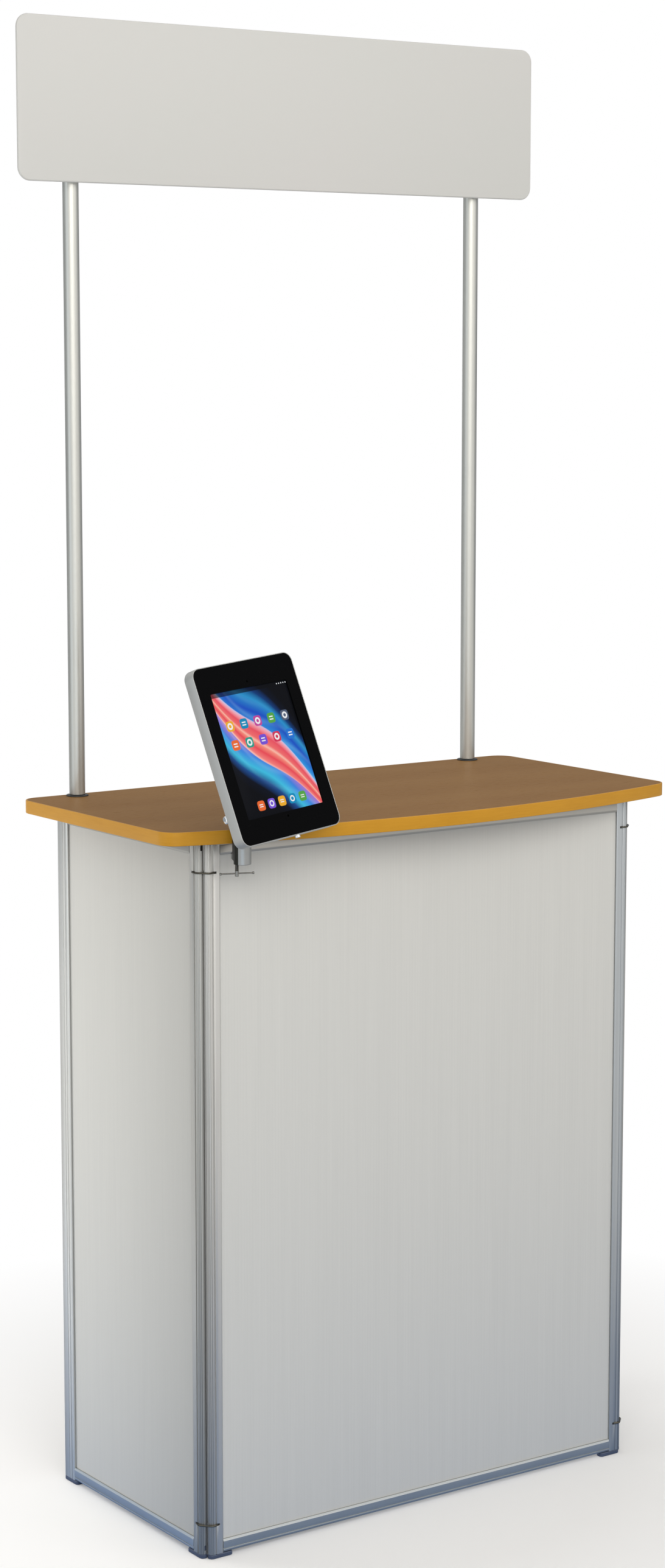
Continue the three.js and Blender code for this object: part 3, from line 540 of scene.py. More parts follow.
# %% Worktop finishes
def laminate_finish():
    paint = Paint("brown_laminate", Roughness=0.4, Specular_IOR_Level=0.022)
    wave = paint.noise(2.2, 2.0, stretch=(0.8, 3.0, 1.0))
    where = paint.split()
    rings = ((where[1] * 46 + wave * 9 + where[0] * 1.5).sine() * 0.5 + 0.5) * 0.5
    figure = paint.noise(210.0, 5.0, 0.6, stretch=(0.05, 1.0, 1.0))
    pores = paint.noise(900.0, 2.0, stretch=(0.07, 1.0, 1.0)).above(0.66, 0.08)
    brown = paint.blend(figure * 0.6 + rings * 0.35, tone(136, 98, 55), tone(158, 122, 76))
    paint.set("Base Color", paint.blend(pores * 0.35, brown, tone(96, 70, 44)))
    paint.set("Roughness", 0.36 + figure * 0.1 + pores * 0.15)
    skin = paint.noise(900.0, 2.0)
    paint.bump(skin * 0.6 + figure * 0.3 - pores * 0.6, 0.22, 0.00012)
    return paint.material


def amber_finish():
    paint = Paint("amber_edging", Roughness=0.38, Specular_IOR_Level=0.28)
    figure = paint.noise(420.0, 4.0, 0.6, stretch=(0.08, 0.08, 1.0))
    clouds = paint.noise(14.0, 3.0)
    body = paint.blend(figure * 0.55 + clouds * 0.4, tone(183, 128, 22), tone(210, 153, 42))
    paint.set("Base Color", body)
    paint.set("Roughness", 0.3 + clouds * 0.14)
    paint.bump(figure, 0.18, 0.0001)
    return paint.material


laminate, amber = laminate_finish(), amber_finish()
print("made", laminate.name, "and", amber.name)

# %% [markdown]
# ## Plastics
#
# Collars, caps, clips and feet are moulded black plastic with a fine spark texture that
# wears shiny on proud places. The header board is a white plastic sheet with a faint
# orange peel. The cover of the tablet case is gloss black, with dust and wipe marks that
# show only in its shine.

# %% Plastic finishes
def moulded(name, dark, light, roughness=0.46):
    paint = Paint(name, Roughness=roughness, Specular_IOR_Level=0.45)
    spark = paint.noise(2200.0, 2.0)
    clouds = paint.noise(60.0, 3.0)
    paint.set("Base Color", paint.blend(clouds * 0.7 + spark * 0.3, dark, light))
    paint.set("Roughness", roughness - 0.08 + clouds * 0.12 + spark * 0.08)
    paint.bump(spark, 0.35, 0.00005)
    return paint.material


def header_finish():
    paint = Paint("white_header_sheet", Roughness=0.42, Specular_IOR_Level=0.4)
    peel = paint.noise(330.0, 2.0)
    clouds = paint.noise(3.2, 3.0, stretch=(1.0, 1.0, 1.6))
    body = paint.blend(clouds, tone(203, 205, 202), tone(208, 206, 205))
    paint.set("Base Color", paint.blend(peel * 0.2, body, tone(204, 204, 200)))
    paint.set("Roughness", 0.36 + clouds * 0.08 + peel * 0.08)
    paint.bump(peel, 0.1, 0.00008)
    return paint.material


def gloss_cover_finish():
    paint = Paint("gloss_black_cover", Roughness=0.1, Specular_IOR_Level=0.012)
    wipes = paint.noise(55.0, 4.0, 0.7, stretch=(1.0, 1.0, 0.35))
    dust = paint.noise(1500.0, 1.0).above(0.74, 0.04)
    near_black = (0.0027, 0.0028, 0.0032, 1.0)
    paint.set("Base Color", paint.blend(dust * 0.4, near_black, (0.03, 0.03, 0.031, 1.0)))
    paint.set("Roughness", 0.07 + wipes * 0.1 + dust * 0.3)
    paint.bump(dust + wipes * 0.3, 0.05, 0.00002)
    return paint.material


black_plastic = moulded("black_moulding", tone(17, 18, 20), tone(34, 35, 37))
foot_plastic = moulded("blue_grey_foot", tone(62, 72, 92), tone(88, 98, 120), 0.4)
header_white, gloss_black = header_finish(), gloss_cover_finish()
print("made", black_plastic.name, foot_plastic.name, header_white.name, gloss_black.name)

# %% [markdown]
# ## Small metals
#
# The wire clips are dark spring steel, the clamp screw and tee bar bright zinc, the knob
# and lock polished chrome. The clamp, arm and case are painted satin silver, which is a
# plastic-like coat full of tiny metal flakes, so it is only half metallic. The clamp has a
# shinier coat, and one flank of it is coloured a flat dark grey.

# %% Metal finishes
DARK_FROM = 8.6


def small_metal(name, dark, light, roughness):
    paint = Paint(name, Metallic=1.0, Roughness=roughness)
    stains = paint.noise(160.0, 4.0, 0.65)
    scratch = paint.noise(900.0, 2.0, stretch=(1.0, 1.0, 0.15))
    paint.set("Base Color", paint.blend(stains * 0.7 + scratch * 0.3, dark, light))
    paint.set("Roughness", roughness * 0.7 + stains * roughness * 0.4 + scratch * 0.06)
    paint.bump(scratch, 0.12, 0.00003)
    return paint.material


def silver_paint(name, dark, light, metallic, roughness, dark_side=None):
    """The last argument is (a, b, c): where a x + b y is below c, the colour is a flat dark grey."""
    paint = Paint(name, Metallic=metallic, Roughness=roughness, Specular_IOR_Level=0.5)
    flakes = paint.noise(5200.0, 1.0)
    clouds = paint.noise(24.0, 3.0)
    colour = paint.blend(flakes * 0.5 + clouds * 0.5, dark, light)
    # One flank is coloured a flat dark grey.
    if dark_side:
        x, y, _ = paint.split()
        painted = (x * dark_side[0] + y * dark_side[1]).above(dark_side[2], 0.3 * MM)
        colour = paint.blend(painted, tone(44, 44, 40), colour)
    paint.set("Base Color", colour)
    paint.set("Roughness", roughness - 0.08 + flakes * 0.12 + clouds * 0.08)
    paint.bump(flakes, 0.12, 0.00003)
    return paint.material


spring_wire = small_metal("dark_spring_wire", tone(64, 62, 55), tone(112, 108, 97), 0.3)
bright_zinc = small_metal("bright_zinc", tone(84, 82, 79), tone(150, 148, 142), 0.24)
chrome = small_metal("polished_chrome", tone(214, 216, 218), tone(236, 237, 238), 0.06)
silver = silver_paint("satin_silver_paint", tone(158, 159, 158), tone(177, 178, 176), 0.45, 0.38)
post, screw = (np.array(joints[name]["pos_m"][:2]) for name in ("holder_swivel", "clamp_turn"))
inward = unit(screw - post)
flank = np.array([inward[1], -inward[0]])
dark_flank = (*flank.tolist(), float(flank @ post) - DARK_FROM * MM)
clamp_tones = tone(130, 131, 130), tone(172, 173, 171)
clamp_silver = silver_paint("clamp_silver", *clamp_tones, 0.92, 0.3, dark_flank)
print("made", spring_wire.name, bright_zinc.name, chrome.name, silver.name)

# %% [markdown]
# ## The picture on the screen
#
# The screen shows a plain made-up home page: soft coloured waves, rows of round-cornered
# tiles with simple marks, and a dock. First come the tiles. Each is a mask: a number that
# is 1 inside a shape and 0 outside it, worked out from the distance to the middle of its
# cell. The fourth powers of the two distances, added up, give a square with round corners.

# %% Tiles of the screen
SCREEN_WIDTH, SCREEN_HEIGHT = 139.0, 166.0
STATUS_BAR, DOT_PITCH, DOT_DROP = 5.5, 4.0, 2.8


def tiles(x, y, left, low, pitch, columns, rows, size):
    """Masks for a block of rounded tiles, whose first corner is at (left, low) in mm: the
    tile, the mark on it, and its number from 0 to 1. size is half a tile over the pitch."""
    across, up = (x - left) / pitch, (y - low) / pitch
    inside = across.within(columns, 0.01) * up.within(rows, 0.01)
    dx, dy = abs(across.part() - 0.5), abs(up.part() - 0.5)
    corner = (dx ** 4 + dy ** 4) ** 0.25
    tile = (size - corner).above(0, 0.02) * inside
    index = (across.floor() + up.floor() * columns + 0.5) / (columns * rows)
    disc = (dx * dx + dy * dy) ** 0.5
    ring = (0.045 - abs(disc - size * 0.5)).above(0, 0.02)
    bars = (size * 0.5 - dx).above(0, 0.02) * (abs(dy - 0.07) * -1 + 0.03).above(0, 0.015)
    odd = (index * columns * rows * 0.5).part().above(0.5, 0.01)
    mark = (ring * odd + bars * (1 - odd)).clamped() * tile
    return tile, mark, index


print("screen", SCREEN_WIDTH, "x", SCREEN_HEIGHT, "mm")

# %% [markdown]
# ## Waves and the lit screen
#
# The waves are colour ramps along the height over a curved line, and a ribbon runs between
# them. The screen lights itself, so the picture feeds the emission colour. The pattern
# follows the glass, so it reads the glass's own UV map, in which one unit is one side of
# the lit window.

# %% Screen finish
def screen_finish():
    paint = Paint("lit_screen", Base_Color=(0.004, 0.004, 0.005, 1.0), Roughness=0.08,
                  Specular_IOR_Level=0.015, Emission_Strength=0.92)
    u, v, _ = paint.split(paint.node("TexCoord")[2])
    x, y = u * SCREEN_WIDTH, v * SCREEN_HEIGHT
    wave = v - (1.04 - u * 1.02 - (u * 5.2 + 0.6).sine() * 0.09)
    sheen = ((wave * 46.0 + (u * 4.0).sine() * 5.0).sine() * 0.5 + 0.5) ** 3
    sky = paint.ramp((wave * 1.35 + (u * 5.0 + v * 2.0).sine() * 0.07).clamped(), [
        (0.0, tone(120, 214, 240)), (0.12, tone(52, 150, 226)), (0.3, tone(30, 82, 196)),
        (0.44, tone(44, 146, 206)), (0.54, tone(18, 60, 120)), (0.64, tone(10, 18, 34)),
        (0.8, tone(7, 9, 14))])
    deep = paint.ramp((wave * -1.5 + (u * 6.0 - v * 3.0).sine() * 0.06).clamped(), [
        (0.0, tone(240, 150, 176)), (0.14, tone(168, 122, 214)), (0.3, tone(64, 132, 226)),
        (0.46, tone(64, 190, 226)), (0.58, tone(28, 74, 140)), (0.7, tone(10, 16, 30)),
        (0.85, tone(7, 9, 14))])
    back = paint.blend(wave.above(0, 0.01), deep, sky)
    glow = sheen * (1 - abs(wave) * 2.4).clamped() * 0.3
    back = paint.blend(glow, back, tone(150, 214, 240), "SCREEN")
    half = 0.1 + u * (1 - u) * 0.26
    across = wave / half * 0.5 + 0.5
    ribbon = paint.ramp((across + (v * 7.0).sine() * 0.03).clamped(), [
        (0.0, tone(255, 206, 190)), (0.08, tone(248, 128, 126)), (0.26, tone(236, 76, 88)),
        (0.4, tone(250, 140, 124)), (0.46, tone(255, 192, 174)), (0.54, tone(244, 112, 112)),
        (0.74, tone(236, 84, 100)), (0.88, tone(250, 160, 172)), (1.0, tone(200, 204, 240))])
    picture = paint.blend(across.within(1, 0.03), back, ribbon)
    colours = [tone(236, 108, 52), tone(42, 160, 142), tone(120, 84, 214), tone(214, 54, 88),
               tone(38, 118, 214), tone(240, 176, 48), tone(24, 142, 190), tone(196, 74, 158),
               tone(86, 168, 74), tone(84, 96, 120)]
    stops = [(i / len(colours), colour) for i, colour in enumerate(colours)]
    home_tiles, dock_tiles = (7.0, 84.0, 25.0, 5, 2, 0.27), (22.0, 5.0, 19.0, 5, 1, 0.34)
    for block in (home_tiles, dock_tiles):
        tile, mark, index = tiles(x, y, *block)
        picture = paint.blend(tile, picture, paint.ramp(index, stops, "CONSTANT"))
        picture = paint.blend(mark, picture, tone(244, 246, 248))
    status = y.above(SCREEN_HEIGHT - STATUS_BAR, 0.4)
    picture = paint.blend(status * 0.8, picture, tone(6, 8, 12))
    dot = (x / DOT_PITCH).part() - 0.5
    dots = dot * dot + ((y - SCREEN_HEIGHT + DOT_DROP) / DOT_PITCH) ** 2
    signs = (0.05 - dots).above(0, 0.02) * x.above(SCREEN_WIDTH - 20, 0.2) * status
    picture = paint.blend(signs, picture, tone(220, 224, 228))
    lit = u.within(1, 0.004) * v.within(1, 0.004)
    paint.set("Emission Color", paint.blend(lit, (0, 0, 0, 1), picture))
    smear = paint.noise(40.0, 4.0, 0.7)
    paint.set("Roughness", 0.05 + smear * 0.06)
    return paint.material


lit_screen = screen_finish()
print("screen nodes:", len(lit_screen.node_tree.nodes))

# %% [markdown]
# ## Poles, caps and collars
#
# A pole is a tube of 22 mm, with its ends broken by a small chamfer and a wall that can be
# seen where it stands open. The cap is a low dome with a plug. The collar is a moulded
# ring on the worktop, from which a spigot goes up inside the pole. All are turned surfaces.

# %% Turned pieces on the worktop
def made_for(node, shape, place, material, sharp=SHARP):
    """A piece from a shape, which stands for one CAD node."""
    made = piece(node + "_made", shape, place, sharp)
    stand_for(made, node, material)
    return made


def foot_of(node):
    """An upright frame at the middle of a node's box, at its lowest height."""
    low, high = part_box(node)
    return Place(((low.x + high.x) / 2, (low.y + high.y) / 2, low.z))


def height_of(node):
    low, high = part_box(node)
    return (high.z - low.z) / MM


def ring_round(profile, sides):
    """A turned surface whose profile is a closed loop, such as the wall of a tube."""
    points, _ = turned(profile, sides)
    return points, grid_faces(len(profile), sides, close_rows=True)


POLE, BORE, BREAK = 11.0, 9.5, 0.7
PLUG, CAP_TOP, DOME_RISE = 9.2, 15.0, 3.0
COLLAR, COLLAR_FOOT, COLLAR_TOP, COLLAR_EDGE = 15.5, 12.15, 13.8, 0.9
PLUG_BELOW, SCREW_HOLE, HOLE_TOP, SPIGOT_TOP, TAPER = 10, 3.3, 9.6, 51.8, 2.0

length = height_of("left_pole")
upper = [(POLE, length - BREAK), (POLE - BREAK, length), (BORE, length)]
wall = [(BORE, 0), (POLE - BREAK, 0), (POLE, BREAK), *upper]

# the dome is an arc of a circle through the rim and the top: radius = (r r + h h) / (2 h)
dome_radius = (POLE ** 2 + DOME_RISE ** 2) / (2 * DOME_RISE)
steps = np.linspace(math.asin(POLE / dome_radius), 0, 9)
dome = dome_radius * np.stack([np.sin(steps), np.cos(steps)], -1) + [0, CAP_TOP - dome_radius]
cap = [(0, 0), (PLUG - 0.6, 0), (PLUG, 0.6), (PLUG, CAP_TOP - DOME_RISE), *dome.tolist()]

rim = (quarter(COLLAR_EDGE, 0) + [COLLAR - COLLAR_EDGE, COLLAR_TOP - COLLAR_EDGE]).tolist()
socket = [(0, HOLE_TOP), (SCREW_HOLE, HOLE_TOP), (SCREW_HOLE, 0), (PLUG_BELOW, 0),
          (PLUG_BELOW, COLLAR_FOOT), (COLLAR, COLLAR_FOOT), *rim, (PLUG, COLLAR_TOP),
          (PLUG, SPIGOT_TOP - TAPER), (PLUG - TAPER, SPIGOT_TOP), (0, SPIGOT_TOP)]
for side in ("left", "right"):
    for name, shape, material in (("pole", ring_round(wall, 96), pole_aluminium),
                                  ("pole_cap", turned(cap), black_plastic),
                                  ("pole_socket", turned(socket), black_plastic)):
        made_for(f"{side}_{name}", shape, foot_of(f"{side}_{name}"), material)
print("poles of", round(length), "mm")

# %% [markdown]
# ## Wire clips
#
# Each front corner is held at top and bottom by a ring of round wire that goes round the
# noses of both profiles. Its middle line is two half circles joined by straight runs. A
# small circle carried round that line makes the wire, so it is a ringed surface with a
# closed profile.

# %% Wire clips
NOSE_SPACING, WIRE_LOOP, WIRE = 12.4, 7.45, 1.2
circle = np.linspace(0, 2 * np.pi, 14, endpoint=False)
wire_section = np.stack([WIRE * np.cos(circle), WIRE * np.sin(circle)], -1)
stadium = arc_outline([(NOSE_SPACING / 2, 0, WIRE_LOOP, -90, 90, 20),
                       (-NOSE_SPACING / 2, 0, WIRE_LOOP, 90, 270, 20)])
ring = ringed(stadium, wire_section, closed=True)
for side, turn in (("left", 135), ("right", 45)):
    across, along = math.cos(math.radians(turn)), math.sin(math.radians(turn))
    for level in ("top", "bottom"):
        node = f"{side}_{level}_wire_clip"
        low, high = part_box(node)
        middle = Place((low + high) / 2, (across, along, 0), (-along, across, 0))
        made_for(node, ring, middle, spring_wire, sharp=math.radians(60))
print("clip wire", 2 * WIRE, "mm thick")

# %% [markdown]
# ## The edging of the worktop
#
# The outline of the worktop is five arcs, a shallow bow along the front and four round
# corners, with straight runs between them at the sides and the back. The edging strip is a
# thin section with rounded outer arrises, carried once round that outline. The laminate
# board inside it is a CAD node that already has the right shape, so it only gets its finish.

# %% Worktop
HALF_WIDTH, BOW, SIDE_FRONT, BACK_EDGE = 423.0, 62.0, -194.984, 188.484
FRONT_CORNER, BACK_CORNER, BOARD_THICK, STRIP, ARRIS = 28.0, 25.0, 18.0, 2.0, 1.0


def worktop_outline():
    """The bow is an arc through its two ends and its middle, of radius (w w + b b) / (2 b) for
    a half width w and a bow b."""
    bow_radius = (HALF_WIDTH ** 2 + BOW ** 2) / (2 * BOW)
    centre_y = SIDE_FRONT - BOW + bow_radius
    corner_x = HALF_WIDTH - FRONT_CORNER
    corner_y = centre_y - math.sqrt((bow_radius - FRONT_CORNER) ** 2 - corner_x ** 2)
    meet = math.degrees(math.atan2(corner_x, centre_y - corner_y))
    back_x, back_y = HALF_WIDTH - BACK_CORNER, BACK_EDGE - BACK_CORNER
    return arc_outline([
        (corner_x, corner_y, FRONT_CORNER, meet - 90, 0, 12),
        (back_x, back_y, BACK_CORNER, 0, 90, 12),
        (-back_x, back_y, BACK_CORNER, 90, 180, 12),
        (-corner_x, corner_y, FRONT_CORNER, 180, 270 - meet, 12),
        (0, centre_y, bow_radius, 270 - meet, 270 + meet, 96),
    ])


low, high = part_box("worktop_edge_band")
worktop_place = Place((0, high.y - BACK_EDGE * MM, low.z))
strip = [(-STRIP, 0), *soft_plate(0, BOARD_THICK, ARRIS).tolist(), (-STRIP, BOARD_THICK)]
made_for("worktop_edge_band", ringed(worktop_outline(), strip, closed=True), worktop_place, amber)
dress(laminate, frame["nodes"]["worktop_board"])
print("worktop", np.round((high - low) / MM).tolist())

# %% [markdown]
# ## The header board
#
# A plastic sheet with round corners, whose edges are rounded over on both faces. In the
# photograph that rounding shows as a thin bright line just inside the outline, so it is
# modelled and not left to a shader.

# %% Header board
HEADER_CORNER, HEADER_EDGE = 18.0, 2.2
low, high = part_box("header_board")
header_middle = ((low.x + high.x) / 2, high.y, (low.z + high.z) / 2)
header_place = Place(header_middle, (1, 0, 0), (0, 0, 1), (0, -1, 0))
width, tall, thick = (high.x - low.x) / MM, (high.z - low.z) / MM, (high.y - low.y) / MM
header_outline = rounded_rectangle(width, tall, HEADER_CORNER, 14)
header_shape = ringed(header_outline, soft_plate(0.0, thick, HEADER_EDGE))
made_for("header_board", header_shape, header_place, header_white)
print("header", round(width), "x", round(tall), "x", round(thick), "mm")

# %% [markdown]
# ## The fluted infill boards
#
# The skin of a twin-walled board is held by its inner ribs and sinks a little between
# them. Its section is a long thin strip whose two faces follow a cosine with the pitch of
# the ribs. It is drawn straight up, so four points for each step across are enough.

# %% Infill boards
SINK = 0.045


def fluted_board(start, length, tall, thick, steps_per_rib=6):
    """Across the board at s: both faces stand at half the thickness less
    SINK * (1 - cos(2 pi s / pitch)) / 2, with s counted from the origin of the object."""
    steps = int(length / RIB_PITCH * steps_per_rib)
    s = np.linspace(0, length, steps + 1)
    face = thick / 2 - SINK * (1 - np.cos(2 * np.pi * (s + start) / RIB_PITCH)) / 2
    zero, full = np.zeros_like(s), np.full_like(s, tall)
    corners = [(s, -face, zero), (s, -face, full), (s, face, full), (s, face, zero)]
    points = np.stack([np.stack(c, -1) for c in corners], 1)
    faces = grid_faces(len(s), 4) + [[0, 1, 2, 3], [4 * steps + i for i in (3, 2, 1, 0)]]
    return points.reshape(-1, 3), faces


for node, axis, finish in (("front_panel_infill", 0, board_front), ("left_panel_infill", 1, board_side),
                           ("right_panel_infill", 1, board_side)):
    low, high = (np.array(corner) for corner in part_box(node))
    size = (high - low) / MM
    middle = (low + high) / 2
    middle[axis], middle[2] = low[axis], low[2]
    along = np.eye(3)[axis]
    place = Place(middle, along, np.cross((0, 0, 1), along))
    shape = fluted_board(low[axis] / MM, size[axis], size[2], size[1 - axis])
    made_for(node, shape, place, finish, sharp=math.radians(50))

# %% [markdown]
# ## Frame profiles, feet and brackets with broken edges
#
# The CAD nodes of the extrusions already have their ribbed noses, grooves, lips and
# windows. What they lack is the fine rounding that every die and mould leaves on an edge.
# A welded copy gets its flat faces joined, and a Bevel modifier rounds each real edge.

# %% Welded copies with soft edges
NOSE_RADIUS, GROOVE_FULL, RAIL_CORNER = 6.0, 0.4, 3.5
SIDE_GROOVE_SHARE, RAIL_GROOVE_SHARE, LEDGE_DEPTH, NOSE_SHADE = 0.3, 1.6, 1.5, 0.62
WELD, FLAT, ROUND_FROM = 3e-6, math.radians(0.4), math.radians(38)


def length_axis(node):
    """The axis that a panel lies along: 0 for the front one, 1 for the sides."""
    return 0 if node.startswith("front") else 1


def mark_grooves(mesh, node):
    """The groove attribute is painted shade: the depth below the outer skin over GROOVE_FULL, cut
    off at 1. The skin of a nose is a circle about its axis, and beyond the nose it is half the
    panel's thickness. A nose gets some painted shade all over, which dulls its highlight, and
    the open grooves beyond the nose get less painted shade than the fine notches in it."""
    low, high = (np.array(corner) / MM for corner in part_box(node))
    points = np.zeros(len(mesh.vertices) * 3, np.float32)
    mesh.vertices.foreach_get("co", points)
    points = points.reshape(-1, 3) / MM
    along = length_axis(node)
    across = np.abs(points[:, 1 - along] - (low + high)[1 - along] / 2)
    if node.endswith("stile"):
        first = node.endswith(("left_stile", "front_stile"))
        inward = points[:, along] - low[along] if first else high[along] - points[:, along]
        inward = inward - NOSE_RADIUS
        depth = NOSE_RADIUS - np.hypot(np.minimum(inward, 0), across)
        # A nose gets some painted shade all over, which dulls its highlight.
        depth = np.where(inward < 0, np.maximum(depth, NOSE_SHADE * GROOVE_FULL), depth)
        share = np.where((inward > 0) & (depth < LEDGE_DEPTH), SIDE_GROOVE_SHARE, 1.0)
    else:
        outer = points[:, 2] - low[2] if "bottom" in node else high[2] - points[:, 2]
        depth = np.where(outer < RAIL_CORNER, 0, NOSE_RADIUS - across)
        share = np.where(depth < LEDGE_DEPTH, SIDE_GROOVE_SHARE, RAIL_GROOVE_SHARE)
    groove = mesh.attributes.new("groove", "FLOAT", "POINT")
    groove.data.foreach_set("value", (np.clip(depth / GROOVE_FULL, 0, 1) * share).astype(np.float32))


def softened(node, material, width, segments=2, sharp=SHARP):
    """A copy of a CAD node: triangles welded, flat ones joined, sharp edges rounded."""
    mesh = frame["nodes"][node].data.copy()
    work = bmesh.new()
    work.from_mesh(mesh)
    bmesh.ops.remove_doubles(work, verts=work.verts, dist=WELD)
    bmesh.ops.dissolve_limit(work, angle_limit=FLAT, verts=work.verts, edges=work.edges)
    work.to_mesh(mesh)
    work.free()
    if node.endswith(("stile", "rail")):
        mark_grooves(mesh, node)
    mesh.name = node + "_soft"
    mesh.shade_smooth()
    mesh.set_sharp_from_angle(angle=sharp)
    made = put_in(node + "_soft", mesh)
    bevel = made.modifiers.new("soft_edges", "BEVEL")
    bevel.width, bevel.segments = width * MM, segments
    bevel.limit_method, bevel.angle_limit = "ANGLE", ROUND_FROM
    bevel.miter_outer = "MITER_ARC"
    stand_for(made, node, material)


for node in frame["nodes"]:
    if node.endswith("stile"):
        softened(node, stile_light_and_shade.get(node, plain_stile), width=0.22)
    elif node.endswith("rail"):
        softened(node, rails["top" if "top" in node else "bottom", length_axis(node)], width=0.25)
    elif node.endswith("foot"):
        softened(node, foot_plastic, width=0.4)
    elif node.endswith("pole_clip"):
        softened(node, black_plastic, width=0.35)

# %% [markdown]
# ## The clamp
#
# The clamp body, swivel head and arm are cast and painted, so their edges are rounder. The
# screw is a real thread: the radius falls and rises once a pitch, and the wave moves round
# the rod as it climbs. A tee bar slides through an eye near its foot, and a rubber-faced
# pad turns on its top.

# %% Clamp pieces
softened("clamp_body", clamp_silver, width=0.7, segments=3)
softened("swivel_head", silver, width=0.5, segments=3)
softened("tilt_arm", silver, width=0.7, segments=3)
softened("turntable", silver, width=0.5)

ROD, THREAD_DEPTH, THREAD_PITCH, SMOOTH_END, TIP = 2.5, 0.42, 0.8, 7.5, 1.0
PAD, PAD_TOP, PAD_SEAT = 6.0, 3.0, 2.8
BAR, BAR_KNOB, BAR_HALF = 1.0, 1.6, 23.0


def threaded_rod(length, sides=28, rows_per_pitch=6):
    """Radius ROD - depth * saw, where saw is a triangle wave of height / pitch - angle / turn.
    The lower end stays smooth, where the eye for the bar is."""
    body = np.arange(SMOOTH_END, length - TIP, THREAD_PITCH / rows_per_pitch)
    heights = np.concatenate([[0, 0, 0.5, SMOOTH_END - 0.3], body, [length - TIP, length, length]])
    radius = np.full(len(heights), ROD)
    radius[[1, -2]] = ROD - 0.5
    radius[[0, -1]] = 0
    cut = ((heights > SMOOTH_END) & (heights < length - TIP)).astype(float)[:, None]

    def relief(angle):
        phase = heights[:, None] / THREAD_PITCH - angle[None] / (2 * np.pi)
        saw = np.abs(phase % 1.0 - 0.5) * 2
        return 1 - cut * saw * THREAD_DEPTH / ROD

    return turned(np.stack([radius, heights], -1), sides, relief)


screw_place = Place((*joints["clamp_turn"]["pos_m"][:2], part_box("clamp_screw")[0].z))
made_for("clamp_screw", threaded_rod(height_of("clamp_screw")), screw_place, bright_zinc)

pad = [(0, PAD_TOP / 2), (PAD_SEAT, PAD_TOP / 2), (PAD_SEAT, 0), (PAD - 0.8, 0), (PAD - 0.2, 0.25),
       (PAD, 0.8), (PAD, 2.3), (PAD - 0.3, PAD_TOP - 0.2), (PAD - 0.8, PAD_TOP), (0, PAD_TOP)]
made_for("clamp_pad", turned(pad), foot_of("clamp_pad"), black_plastic)

bar_axis = unit(joints["tommy_bar_slide"]["axis"])
low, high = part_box("tommy_bar")
bar_place = Place((low + high) / 2, (0, 0, 1), np.cross(bar_axis, (0, 0, 1)), bar_axis)
knob_end = (quarter(0.5, 0) + [BAR_KNOB - 0.5, BAR_HALF - 0.5]).tolist()
bar_half = [(BAR, 0), (BAR, BAR_HALF - 2.6), (BAR_KNOB, BAR_HALF - 2.1), *knob_end, (0, BAR_HALF)]
bar = [(r, -z) for r, z in reversed(bar_half)] + bar_half[1:]
made_for("tommy_bar", turned(bar, 32), bar_place, bright_zinc)
print("thread turns:", int((height_of("clamp_screw") - SMOOTH_END) / THREAD_PITCH))

# %% [markdown]
# ## Knob, lock and screw heads
#
# These small turned pieces have one thing more than a profile: a grip of shallow flutes, or
# a recess that isn't round. Both are a radius that changes with the angle. A hexagon's
# radius is its half width over the cosine of the angle from the middle of a side, and a
# slot's is that of the side, long or short, that the angle meets first.

# %% Recesses and grips
def hexagon(angle):
    return 1 / np.cos(angle % (np.pi / 3) - np.pi / 6)


def slot_recess(angle, long=2.0, short=0.45):
    with np.errstate(divide="ignore"):
        return np.minimum(long / np.abs(np.cos(angle)), short / np.abs(np.sin(angle)))


def socket_head(recess, wide, deep, radius, height, soft=0.4, sides=72):
    """A round head that faces up at height, with a recess of the given outline and depth."""
    rim = (quarter(soft, 0)[::-1] + [radius - soft, height - soft]).tolist()
    profile = [(0, height - deep), (wide, height - deep), (wide, height), *rim, (radius, 0), (0, 0)]

    def relief(angle):
        scale = np.ones((len(profile), len(angle)))
        scale[1:3] = recess(angle)
        return scale

    return turned(profile, sides, relief)


def joined(shapes):
    """Several shapes as one list of points and faces."""
    points, faces, count = [], [], 0
    for some_points, some_faces in shapes:
        points.append(some_points)
        faces += [[index + count for index in face] for face in some_faces]
        count += len(some_points)
    return np.concatenate(points), faces


KNOB, KNOB_ROUND, KNOB_FACE, KNOB_BACK = 5.5, 3.0, 31.5, 16.5
NECK_END, STUD, STUD_END = 11.5, 2.8, 11.2
FLUTES, FLUTE_DEPTH = 20, 0.03
HEAD_SEAT, SHANK, BARREL = -37.6, 5.6, 7.2
tilt = joints["holder_tilt"]
knob_axis = unit(tilt["axis"])
knob_place = Place(tilt["pos_m"], case.axes[1], np.cross(knob_axis, case.axes[1]), knob_axis)
crown = (quarter(KNOB_ROUND, -90, 8) + [KNOB - KNOB_ROUND, KNOB_ROUND - KNOB_FACE]).tolist()
knob = [(0, -KNOB_FACE), *crown, (KNOB, 0.6 - KNOB_BACK), (KNOB - 0.6, -KNOB_BACK), (4, -KNOB_BACK),
        (4, -NECK_END), (STUD, -NECK_END), (STUD, STUD_END - 0.3), (STUD - 0.3, STUD_END),
        (0, STUD_END)]


def grip(angle):
    """Shallow flutes on the rows of the knob's rim."""
    scale = np.ones((len(knob), len(angle)))
    scale[8:11] -= FLUTE_DEPTH * (0.5 - 0.5 * np.cos(FLUTES * angle))
    return scale


made_for("tilt_knob", turned(knob, 120, grip), knob_place, chrome)

behind = Place(case.origin, case.axes[0], -case.axes[2], case.axes[1])
head = socket_head(hexagon, wide=3.6, deep=2.0, radius=11.0, height=3.0)
shank = turned([(0, -SHANK), (3, -SHANK), (3, 0), (0, 0)], 24)
made_for("turntable_screw", joined([head, shank]), behind.raised(HEAD_SEAT), bright_zinc)

